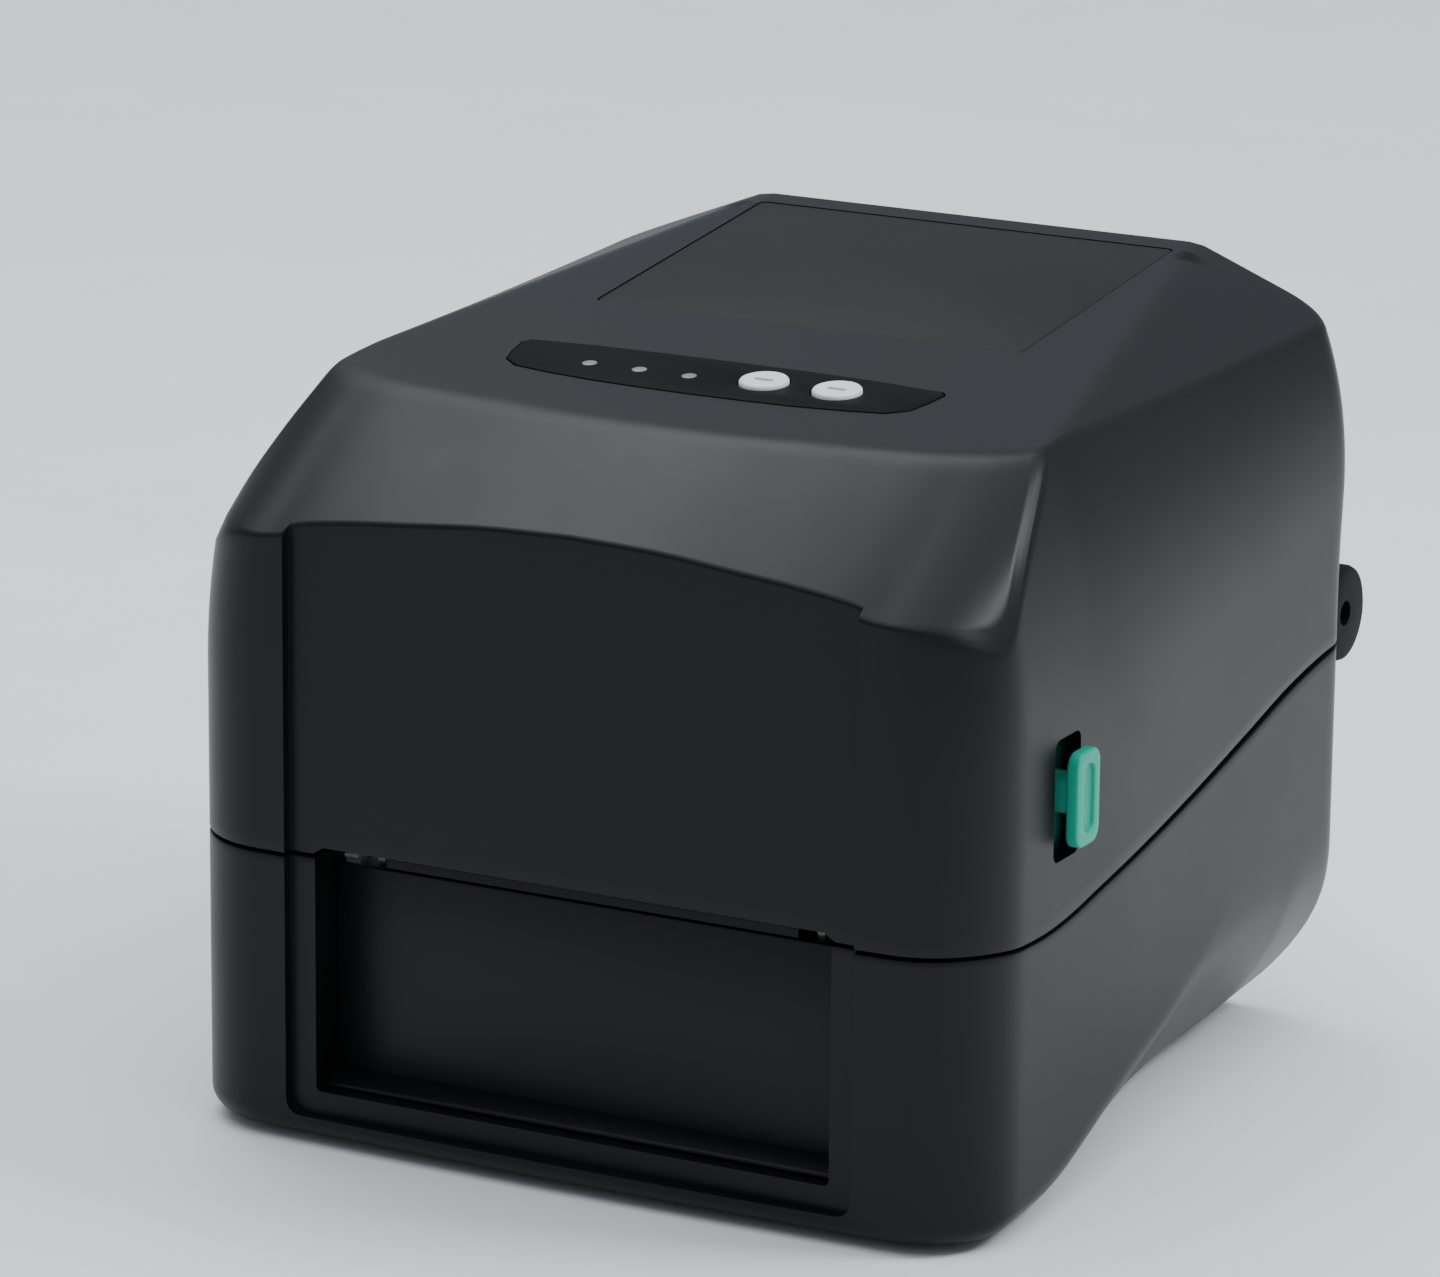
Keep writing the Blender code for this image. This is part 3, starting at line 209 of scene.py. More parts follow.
def material(kind):
    if kind not in MATERIALS:
        c = bpy.context.scene.printer_colours
        grain = bpy.context.scene.printer_sizes.grain
        makers = {
            "casing": lambda: plastic("charcoal_casing", c.casing, 0.36, grain, 0.00002, 0.05, 0.0, 1.30),
            "barrel": lambda: plastic("hinge_plastic", (0.0040, 0.0043, 0.0048), 0.62, grain,
                                      0.00002, 0.05, 0.0, 1.2),
            "smoked": lambda: plastic("smoked_window", c.window, 0.48, 0.004, 0.000004, 0.04, 0.0, 1.24),
            "panel": lambda: plastic("key_panel", c.panel, 0.54, 0.002, 0.000004, 0.08, 0.0, 1.15),
            "white_key": lambda: plastic("key_cap", c.keys, 0.36, grain, 0.00001, 0.02),
            "key_mark": lambda: plastic("key_mark", (0.30, 0.31, 0.33), 0.45, grain, 0.00001, 0.05),
            "led": lambda: plastic("status_light", c.lights, 0.30, 0.002, 0.000006, 0.10),
            "teal": lambda: plastic("latch_plastic", c.latch, 0.40, grain, 0.00002, 0.05, 0.0, 1.36),
            "rubber": lambda: plastic("roller_rubber", (0.014, 0.014, 0.015), 0.80, 0.0008, 0.00006, 0.15),
            "grey_plastic": lambda: plastic("inner_plastic", (0.10, 0.103, 0.108), 0.48, grain,
                                            0.00004, 0.06),
            "acetal": lambda: plastic("gear_plastic", (0.74, 0.73, 0.68), 0.42, 0.001, 0.00001, 0.03),
            "black_plastic": lambda: plastic("socket_plastic", (0.006, 0.006, 0.0065), 0.48, grain,
                                             0.00002, 0.08),
            "black_steel": lambda: metal("blackened_steel", (0.020, 0.020, 0.022), 0.45),
            "ceramic": lambda: plastic("head_glaze", (0.50, 0.45, 0.35), 0.18, 0.003, 0.000004, 0.10, 0.3),
            "board": lambda: circuit_board("board_lacquer"),
            "steel": lambda: metal("turned_steel", (0.60, 0.61, 0.63), 0.28),
            "zinc": lambda: metal("plated_sheet", (0.50, 0.51, 0.53), 0.38, (1.0, 6.0, 6.0)),
            "aluminium": lambda: metal("extruded_aluminium", (0.70, 0.71, 0.73), 0.34, (1.0, 30.0, 30.0)),
            "motor": lambda: metal("motor_case", (0.10, 0.10, 0.11), 0.42, (6.0, 6.0, 6.0)),
            "brass": lambda: metal("contact_brass", (0.75, 0.56, 0.22), 0.30, (1.0, 1.0, 1.0)),
            "floor": lambda: plastic("studio_floor", c.floor, 0.85, 0.02, 0.00001, 0.01),
        }
        MATERIALS[kind] = makers[kind]()
    return MATERIALS[kind]


SLOT_LOOK = {
    "casing": "casing", "smoked": "smoked", "panel": "black_plastic", "white_key": "white_key", "led": "led",
    "teal": "teal", "rubber": "rubber", "steel": "steel", "zinc": "zinc", "acetal": "acetal",
    "grey_plastic": "grey_plastic", "board": "board", "ceramic": "ceramic", "aluminium": "aluminium",
    "motor": "motor",
}


NODE_LOOK = {"tear_bar": "black_steel", "platen_bearing_left": "black_plastic",
             "platen_bearing_right": "black_plastic"}


# ------------------------------------------------------------------ mesh helpers
def link_object(name, mesh):
    made = bpy.data.objects.new(name, mesh)
    bpy.context.scene.collection.objects.link(made)
    return made


def from_bmesh(name, bm, kind, sharp=35.0):
    mesh = bpy.data.meshes.new(name)
    bm.to_mesh(mesh)
    bm.free()
    mesh.materials.append(material(kind))
    mesh.shade_smooth()
    mesh.set_sharp_from_angle(angle=math.radians(sharp))
    return link_object(name, mesh)


def evaluated(obj):
    """The object's modifiers made part of its mesh."""
    bpy.context.view_layer.update()
    graph = bpy.context.evaluated_depsgraph_get()
    mesh = bpy.data.meshes.new_from_object(obj.evaluated_get(graph))
    obj.modifiers.clear()
    old = obj.data
    obj.data = mesh
    if old.users == 0:
        bpy.data.meshes.remove(old)
    return obj


def rounded(obj, width, segments=2, angle=30.0):
    step = obj.modifiers.new("round", "BEVEL")
    step.width = width
    step.segments = segments
    step.limit_method = "ANGLE"
    step.angle_limit = math.radians(angle)
    step.harden_normals = False
    evaluated(obj)
    obj.data.set_sharp_from_angle(angle=math.radians(50.0))
    return obj


def carve(obj, cutters, operation="DIFFERENCE"):
    for cutter in cutters:
        step = obj.modifiers.new("carve", "BOOLEAN")
        step.operation = operation
        step.solver = "EXACT"
        step.object = cutter
        evaluated(obj)
        mesh = cutter.data
        bpy.data.objects.remove(cutter)
        bpy.data.meshes.remove(mesh)
    return obj


def prism(name, outline, low, high, axis="X", kind="casing"):
    """A flat outline in metres swept from low to high along an axis."""
    place = {"X": lambda a, b, h: (h, a, b), "Y": lambda a, b, h: (a, h, b),
             "Z": lambda a, b, h: (a, b, h)}[axis]
    bm = bmesh.new()
    ring = [bm.verts.new(place(a, b, low)) for a, b in outline]
    face = bm.faces.new(ring)
    swept = bmesh.ops.extrude_face_region(bm, geom=[face])
    moved = [v for v in swept["geom"] if isinstance(v, bmesh.types.BMVert)]
    bmesh.ops.translate(bm, verts=moved, vec=Vector(place(0.0, 0.0, high - low)))
    bmesh.ops.recalc_face_normals(bm, faces=bm.faces)
    return from_bmesh(name, bm, kind)


def block(name, low, high, kind="casing", round_by=0.0, segments=2):
    bm = bmesh.new()
    bmesh.ops.create_cube(bm, size=1.0)
    bmesh.ops.scale(bm, verts=bm.verts, vec=Vector(high) - Vector(low))
    bmesh.ops.translate(bm, verts=bm.verts, vec=(Vector(high) + Vector(low)) / 2.0)
    made = from_bmesh(name, bm, kind)
    if round_by:
        rounded(made, round_by, segments)
    return made


def turned(name, profile, centre, axis="Z", kind="casing", steps=48, sharp=40.0):
    """A profile of (radius, height) turned about an axis through centre. Heights run along the axis."""
    bm = bmesh.new()
    rows = []
    for radius, height in profile:
        row = []
        if radius < 1e-7:
            row.append(bm.verts.new((0.0, 0.0, height)))
        else:
            for i in range(steps):
                a = 2.0 * math.pi * i / steps
                row.append(bm.verts.new((radius * math.cos(a), radius * math.sin(a), height)))
        rows.append(row)
    for near, far in zip(rows[:-1], rows[1:]):
        for i in range(steps):
            j = (i + 1) % steps
            a, b = near[i % len(near)], near[j % len(near)]
            c, d = far[j % len(far)], far[i % len(far)]
            corners = [v for k, v in enumerate((a, b, c, d)) if v not in (a, b, c, d)[:k]]
            if len(corners) > 2:
                bm.faces.new(corners)
    turn = {"Z": Matrix.Identity(4), "X": Matrix.Rotation(math.pi / 2, 4, "Y"),
            "Y": Matrix.Rotation(-math.pi / 2, 4, "X")}[axis]
    bmesh.ops.transform(bm, matrix=Matrix.Translation(centre) @ turn, verts=bm.verts)
    bmesh.ops.recalc_face_normals(bm, faces=bm.faces)
    return from_bmesh(name, bm, kind, sharp)


def rounded_outline(points, radii, steps=5):
    """A polygon whose corners are arcs of the given radii."""
    out = []
    count = len(points)
    for i, (p, radius) in enumerate(zip(points, radii)):
        p = Vector(p)
        before = (Vector(points[i - 1]) - p).normalized()
        after = (Vector(points[(i + 1) % count]) - p).normalized()
        if radius <= 0.0:
            out.append(tuple(p))
            continue
        half = before.angle(after) / 2.0
        reach = radius / math.tan(half)
        centre = p + (before + after).normalized() * (radius / math.sin(half))
        a, b = p + before * reach - centre, p + after * reach - centre
        turn = a.angle_signed(b)
        for k in range(steps + 1):
            t = -turn * k / steps
            c, s = math.cos(t), math.sin(t)
            out.append((centre.x + a.x * c - a.y * s, centre.y + a.x * s + a.y * c))
    return out


def rounded_rectangle(x0, y0, x1, y1, radius, steps=5):
    """An upright rectangle with four equal arcs for corners."""
    return rounded_outline([(x0, y0), (x1, y0), (x1, y1), (x0, y1)], [radius] * 4, steps)


def joined(name, objects):
    """Several finished pieces of one body made one object."""
    bm = bmesh.new()
    kinds = []
    for obj in objects:
        part = bmesh.new()
        part.from_mesh(obj.data)
        kind = obj.data.materials[0]
        if kind not in kinds:
            kinds.append(kind)
        for face in part.faces:
            face.material_index = kinds.index(kind)
        holder = bpy.data.meshes.new("holder")
        part.to_mesh(holder)
        part.free()
        bm.from_mesh(holder)
        bpy.data.meshes.remove(holder)
    mesh = bpy.data.meshes.new(name)
    bm.to_mesh(mesh)
    bm.free()
    for kind in kinds:
        mesh.materials.append(kind)
    for obj in objects:
        old = obj.data
        bpy.data.objects.remove(obj)
        bpy.data.meshes.remove(old)
    mesh.set_sharp_from_angle(angle=math.radians(40.0))
    return link_object(name, mesh)


def finish(obj, body, slot, *nodes):
    if nodes:
        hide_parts(*nodes)
    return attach(obj, body)


# ------------------------------------------------------------------ geometry nodes
def repeat_tree(name, kind):
    """A tree that sets a small piece at every point of a row and column grid."""
    tree = bpy.data.node_groups.new(name, "GeometryNodeTree")
    face = tree.interface
    face.new_socket("Geometry", in_out="INPUT", socket_type="NodeSocketGeometry")
    for label, socket, default in (("Columns", "NodeSocketInt", 2), ("Rows", "NodeSocketInt", 2),
                                   ("Width", "NodeSocketFloat", 0.1), ("Depth", "NodeSocketFloat", 0.1),
                                   ("Place", "NodeSocketVector", (0.0, 0.0, 0.0)),
                                   ("Turn", "NodeSocketVector", (0.0, 0.0, 0.0))):
        made = face.new_socket(label, in_out="INPUT", socket_type=socket)
        made.default_value = default
    face.new_socket("Geometry", in_out="OUTPUT", socket_type="NodeSocketGeometry")
    inside = tree.nodes.new("NodeGroupInput")
    outside = tree.nodes.new("NodeGroupOutput")
    grid = tree.nodes.new("GeometryNodeMeshGrid")
    move = tree.nodes.new("GeometryNodeTransform")
    spread = tree.nodes.new("GeometryNodeInstanceOnPoints")
    real = tree.nodes.new("GeometryNodeRealizeInstances")
    look = tree.nodes.new("GeometryNodeSetMaterial")
    look.inputs["Material"].default_value = material(kind)
    tree.links.new(inside.outputs["Columns"], grid.inputs["Vertices X"])
    tree.links.new(inside.outputs["Rows"], grid.inputs["Vertices Y"])
    tree.links.new(inside.outputs["Width"], grid.inputs["Size X"])
    tree.links.new(inside.outputs["Depth"], grid.inputs["Size Y"])
    tree.links.new(grid.outputs["Mesh"], spread.inputs["Points"])
    tree.links.new(inside.outputs["Geometry"], spread.inputs["Instance"])
    tree.links.new(spread.outputs["Instances"], move.inputs["Geometry"])
    tree.links.new(inside.outputs["Place"], move.inputs["Translation"])
    tree.links.new(inside.outputs["Turn"], move.inputs["Rotation"])
    tree.links.new(move.outputs["Geometry"], real.inputs["Geometry"])
    tree.links.new(real.outputs["Geometry"], look.inputs["Geometry"])
    tree.links.new(look.outputs["Geometry"], outside.inputs["Geometry"])
    return tree


def repeated(unit, kind, columns, rows, width, depth, place, turn=(0.0, 0.0, 0.0)):
    """unit repeated over a grid by geometry nodes, turned into a plain mesh."""
    tree = repeat_tree(unit.name + "_grid", kind)
    step = unit.modifiers.new("grid", "NODES")
    step.node_group = tree
    values = {"Columns": columns, "Rows": rows, "Width": width, "Depth": depth, "Place": place, "Turn": turn}
    for item in tree.interface.items_tree:
        if item.in_out == "INPUT" and item.name in values:
            step[item.identifier] = values[item.name]
    evaluated(unit)
    unit.data.shade_smooth()
    unit.data.set_sharp_from_angle(angle=math.radians(40.0))
    return unit


# ------------------------------------------------------------------ outer form of the casing
SIDE_START = 0.120
SIDE_RADIUS = 0.183
SIDE_START_REAR = 0.145
SIDE_RADIUS_REAR = 0.123
ROOF_CORNER_Y = -0.062
ROOF_CORNER_Z = 0.189
ROOF_SLOPE = 0.1006
SHOULDER_SLOPE = 0.4674
SHOULDER_SLOPE_REAR = 0.3975
SHOULDER_X = 0.0998
SHOULDER_Z = 0.1894
REAR_Y = 0.103
REAR_TOP_Y = 0.108
BOTTOM_Z = 0.002
RECESS_Z = 0.008
SKIN_SHARE = 1.12
FACET_FLATNESS = 0.75
FACET_SPAN = 0.86
FACET_END_Y = -0.058
FACET_FADE = 0.012
BEVEL = np.array([(0.0, -79.2, 0.500), (25.0, -78.4, 0.515), (45.0, -76.3, 0.540), (62.0, -74.5, 0.560),
                  (76.0, -72.4, 0.582), (84.0, -70.0, 0.594), (91.0, -67.2, 0.590), (96.7, -63.8, 0.596),
                  (102.1, -59.8, 0.632), (106.5, -56.0, 0.693), (110.0, -52.8, 0.790), (125.0, -38.0, 0.96)])
SEAM = np.array([(-135.0, 75.8), (-105.0, 75.8), (-98.0, 75.3), (-81.0, 74.8), (-66.0, 76.0), (-52.0, 78.1),
                 (-37.0, 80.3), (-23.0, 82.6), (7.0, 88.3), (38.0, 95.0), (69.5, 101.9), (88.0, 104.6),
                 (135.0, 106.5)]) * MM
UNDERCUT = np.array([(-130.0, 112.0, 3.0), (-69.0, 106.0, 11.0), (-33.0, 98.0, 24.0), (6.0, 90.5, 38.0),
                     (30.0, 86.5, 50.0), (71.0, 83.0, 66.0), (140.0, 79.0, 70.0)]) * MM


def smooth_curve(x, table, column):
    """A curve through the table's points with level slopes kept smooth."""
    xs, ys = table[:, 0], table[:, column]
    slope = np.gradient(ys, xs)
    i = np.clip(np.searchsorted(xs, x) - 1, 0, len(xs) - 2)
    h = xs[i + 1] - xs[i]
    t = np.clip((x - xs[i]) / h, 0.0, 1.0)
    a, b = (1 + 2 * t) * (1 - t) ** 2, t * (1 - t) ** 2
    c, d = t * t * (3 - 2 * t), t * t * (t - 1)
    return a * ys[i] + b * h * slope[i] + c * ys[i + 1] + d * h * slope[i + 1]


def smooth_min(a, b, k):
    h = np.maximum(k - np.abs(a - b), 0.0) / k
    return np.minimum(a, b) - h * h * k / 4.0


def roof(y):
    """Height of the flat roof, which rises gently to the rear."""
    return ROOF_CORNER_Z + ROOF_SLOPE * (y - ROOF_CORNER_Y)


def top_height(x, y):
    """Height of the moulded top: flat roof, leaning shoulders and the sloping front."""
    across = np.abs(x) / MM
    edge = smooth_curve(across, BEVEL, 1) * MM
    slope = smooth_curve(across, BEVEL, 2)
    front = roof(edge) + slope * (y - edge)
    ridge = SHOULDER_X + (SHOULDER_Z - roof(y)) / SHOULDER_SLOPE
    back = np.clip((y - ROOF_CORNER_Y) / 0.164, 0.0, 1.0)
    lean = SHOULDER_SLOPE + (SHOULDER_SLOPE_REAR - SHOULDER_SLOPE) * back
    shoulder = roof(y) - lean * (np.abs(x) - ridge)
    return smooth_min(smooth_min(roof(y), shoulder, 0.0010), front, 0.0016)


def side_reach(z, back):
    """Half the width at height z; the sides lean in less towards the rear, where back is one."""
    start = SIDE_START + (SIDE_START_REAR - SIDE_START) * back
    radius = SIDE_RADIUS + (SIDE_RADIUS_REAR - SIDE_RADIUS) * back
    rise = np.clip(z - start, 0.0, 0.09)
    return HALF_WIDTH - radius + np.sqrt(radius ** 2 - rise ** 2)


def rear_reach(z):
    """Depth of the rear wall, which swells a little near the top."""
    t = np.clip((z - 0.118) / 0.070, 0.0, 1.0)
    return REAR_Y + (REAR_TOP_Y - REAR_Y) * t * t * (3 - 2 * t)


FRONT_N, STEP_N, STRIP_N, CORNER_N, SIDE_N, REAR_CORNER_N, REAR_N = 26, 6, 8, 16, 60, 10, 22


def column_kinds():
    """The upright columns round half the casing, from the middle of the front to the middle of the rear."""
    kinds = [("front", i / FRONT_N) for i in range(FRONT_N)]
    kinds += [("step", i / STEP_N) for i in range(STEP_N)]
    kinds += [("strip", i / STRIP_N) for i in range(STRIP_N)]
    kinds += [("corner", i / CORNER_N) for i in range(CORNER_N)]
    kinds += [("side", i / SIDE_N) for i in range(SIDE_N)]
    kinds += [("rear_corner", i / REAR_CORNER_N) for i in range(REAR_CORNER_N)]
    kinds += [("rear", i / REAR_N) for i in range(REAR_N + 1)]
    return kinds


KINDS = column_kinds()
HALF_N = len(KINDS)
ORDER = ["front", "step", "strip", "corner", "side", "rear_corner", "rear"]
GROUP = np.array([ORDER.index(k) for k, _ in KINDS])
SHARE = np.array([s for _, s in KINDS])
BACK = np.where(GROUP == 4, np.clip((SHARE - 0.2) / 0.8, 0.0, 1.0), np.where(GROUP > 4, 1.0, 0.0))


def front_line(x):
    """The slightly bowed front, seen from above."""
    return -0.122 + 0.0015 * (x / 0.088) ** 2


def half_outline(z, inset=0.0, recessed=True, recess_half=None):
    """x and y of every column at its own height z."""
    s = bpy.context.scene.printer_sizes
    recess = s.recess_half if recess_half is None else recess_half
    reach = side_reach(z, BACK) - inset
    rear = rear_reach(z) - inset
    big, small = s.front_corner - inset, s.rear_corner - inset
    start_x, start_y = reach - big, front_line(0.088) + inset
    x, y = np.zeros(HALF_N), np.zeros(HALF_N)
    inner = RECESS_Y + inset
    outer = front_line(recess) + inset
    m = GROUP == 0
    x[m] = SHARE[m] * recess
    y[m] = inner if recessed else (front_line(x[m]) + inset)
    m = GROUP == 1
    x[m] = recess + 0.0004 * np.sin(SHARE[m] * math.pi / 2) if recessed else recess
    y[m] = (inner + (outer - inner) * (0.5 - 0.5 * np.cos(SHARE[m] * math.pi))) if recessed else outer
    m = GROUP == 2
    x[m] = recess + 0.0004 + SHARE[m] * (start_x[m] - recess - 0.0004)
    y[m] = front_line(x[m]) + inset
    m = GROUP == 3
    a = SHARE[m] * math.pi / 2
    x[m] = start_x[m] + big * np.sin(a)
    y[m] = start_y + big * (1.0 - np.cos(a))
    m = GROUP == 4
    low, high = start_y + big, rear[m] - small
    x[m] = reach[m]
    y[m] = low + (high - low) * SHARE[m]
    m = GROUP == 5
    a = SHARE[m] * math.pi / 2
    x[m] = reach[m] - small * (1.0 - np.cos(a))
    y[m] = rear[m] - small * (1.0 - np.sin(a))
    m = GROUP == 6
    x[m] = (reach[m] - small) * (1.0 - SHARE[m])
    y[m] = rear[m]
    return x, y


def undercut_limit(y, z, inset=0.0):
    """How far out the low side may reach, which narrows the underside towards the rear."""
    foot = smooth_curve(y, UNDERCUT, 1)
    top = smooth_curve(y, UNDERCUT, 2)
    bulge = np.clip((y - 0.006) / 0.065, 0.0, 1.0)
    share = z / top
    hollow = (HALF_WIDTH - foot) * np.clip(1.0 - share, 0.0, 1.0) ** (1.0 + 1.5 * bulge)
    above = (HALF_WIDTH - foot) * np.maximum(share - 1.0, 0.0) + 0.0018 * bulge * np.clip(share, 0.0, 1.0)
    return HALF_WIDTH - inset * 1.15 - hollow + above


def seam_height(y):
    """Height of the joint line between cover and base."""
    return smooth_curve(y, SEAM, 1)


def edge_height(inset=0.0):
    """Where each column's wall meets the top."""
    z = np.full(HALF_N, 0.17)
    for _ in range(60):
        x, y = half_outline(z, inset)
        z = z + 0.5 * (top_height(x, y) - SKIN_SHARE * inset - z)
    return z


def inward():
    """The level direction into the casing at each column."""
    a = SHARE * math.pi / 2
    nx = np.select([GROUP < 3, GROUP == 3, GROUP == 4, GROUP == 5], [0.0, -np.sin(a), -1.0, -np.cos(a)], 0.0)
    ny = np.select([GROUP < 3, GROUP == 3, GROUP == 4, GROUP == 5], [1.0, np.cos(a), 0.0, -np.sin(a)], -1.0)
    return nx, ny


def whole(x, y, z):
    """A half ring mirrored into a closed ring."""
    pts = np.stack([x, y, z], 1)
    other = pts[1:-1][::-1] * np.array([-1.0, 1.0, 1.0])
    return np.concatenate([pts, other])


def skin(name, rings, kind):
    """Rings of equal length joined into a closed shell whose two end rings are zipped shut."""
    count = len(rings[0])
    points = np.concatenate(rings)
    mesh = bpy.data.meshes.new(name)
    faces = []
    for r in range(len(rings) - 1):
        for i in range(count):
            j = (i + 1) % count
            faces.append((r * count + i, r * count + j, (r + 1) * count + j, (r + 1) * count + i))
    half = (count + 2) // 2
    for base, flip in ((0, False), ((len(rings) - 1) * count, True)):
        for i in range(half - 1):
            a, b = base + i, base + i + 1
            c, d = base + (count - i - 1) % count, base + (count - i) % count
            face = (a, b, c, d) if i else (a, b, c)
            if i == half - 2:
                face = (a, b, d)
            faces.append(face if flip else tuple(reversed(face)))
    mesh.from_pydata([tuple(p) for p in points], [], faces)
    bm = bmesh.new()
    bm.from_mesh(mesh)
    bmesh.ops.remove_doubles(bm, verts=bm.verts, dist=0.000002)
    bmesh.ops.dissolve_degenerate(bm, edges=bm.edges, dist=0.000001)
    bmesh.ops.recalc_face_normals(bm, faces=bm.faces)
    bm.to_mesh(mesh)
    bm.free()
    mesh.materials.append(material(kind))
    mesh.shade_smooth()
    return link_object(name, mesh)


def spine_rings(x, y, height, shares, low=-0.050, high=0.072):
    """Rings from an outline in towards a line along the middle."""
    rings = []
    cy = np.clip(y, low, high)
    for t in shares:
        px, py = x * (1.0 - t), y + (cy - y) * t
        rings.append(whole(px, py, height(px, py)))
    return rings


def cover_rings():
    """The rings of the cover: under the roof, down the inside, round the lip and up over the top."""
    s = bpy.context.scene.printer_sizes
    gap = s.seam_gap / 2.0
    edge = edge_height()
    ex, ey = half_outline(edge)
    low = seam_height(ey) + gap
    slot = (GROUP == 0) & (ex < 0.0725)
    low = np.where(slot, 0.0784, low)
    radius = np.where(GROUP <= 2, s.front_round, s.edge_round)
    blend = np.clip((SHARE - 0.15) / 0.5, 0.0, 1.0)
    radius = np.where(GROUP == 3, s.front_round + (s.edge_round - s.front_round) * blend, radius)
    side_flat = FACET_FLATNESS * np.clip((FACET_END_Y - ey) / FACET_FADE, 0, 1)
    facet = np.where(GROUP == 3, FACET_FLATNESS * blend, np.where(GROUP == 4, side_flat, 0.0))
    rings = []
    t_in = s.wall
    inner_edge = edge_height(t_in)

    def inner(z):
        x, y = half_outline(z, t_in)
        return x, np.maximum(y, RECESS_Y + t_in)

    ix, iy = inner(inner_edge)
    tops = spine_rings(ix, iy, lambda a, b: top_height(a, b) - SKIN_SHARE * t_in,
                       (0.0, 0.06, 0.15, 0.3, 0.5, 0.75, 1.0))
    tops[0] = whole(ix, iy, np.minimum(inner_edge, top_height(ix, iy) - SKIN_SHARE * t_in))
    rings += list(reversed(tops))
    for t in (0.06, 0.15, 0.3, 0.5, 0.7, 0.9):
        z = inner_edge + (low + 0.0006 - inner_edge) * t
        rings.append(whole(*inner(z), z))
    z = low + 0.0004
    rings.append(whole(*inner(z), z))
    x, y = inner(low)
    nx, ny = inward()
    rings.append(whole(x - nx * 0.0004, y - ny * 0.0004, low))
    x, y = half_outline(low)
    nx, ny = inward()
    rings.append(whole(x + nx * 0.0005, y + ny * 0.0005, low))
    rings.append(whole(x + nx * 0.00015, y + ny * 0.00015, low + 0.00015))
    wall_top = edge - radius
    for t in np.linspace(0.0, 1.0, 30):
        z = low + 0.0005 + (wall_top - low - 0.0005) * t
        rings.append(whole(*half_outline(z), z))
    nx, ny = inward()
    wx, wy = half_outline(wall_top)
    tx, ty = ex + nx * radius, ey + ny * radius
    tz = top_height(tx, ty)
    for t in (0.08, 0.3, 0.5, 0.7, 0.92, 1.0):
        a, b, c = (1 - t) ** 2, 2 * t * (1 - t), t * t
        f = facet * (0.0 if t > 0.99 else 1.0)
        bx, by, bz = a * wx + b * ex + c * tx, a * wy + b * ey + c * ty, a * wall_top + b * edge + c * tz
        u = 0.5 + (t - 0.5) * FACET_SPAN
        lx, ly, lz = wx + (tx - wx) * u, wy + (ty - wy) * u, wall_top + (tz - wall_top) * u
        rings.append(whole(bx + (lx - bx) * f, by + (ly - by) * f, bz + (lz - bz) * f))
    goal = -0.112
    reach = np.where(GROUP < 3, goal - ty, goal - ty[GROUP == 3][0])
    for t in np.linspace(0.0, 1.0, 13)[1:]:
        x, y = tx + nx * reach * t, ty + ny * reach * t
        rings.append(whole(x, y, top_height(x, y)))
    shares = np.r_[np.linspace(0.0, 0.5, 34)[1:], np.linspace(0.5, 1.0, 16)[1:]]
    rings += spine_rings(x, y, top_height, shares)
    return rings


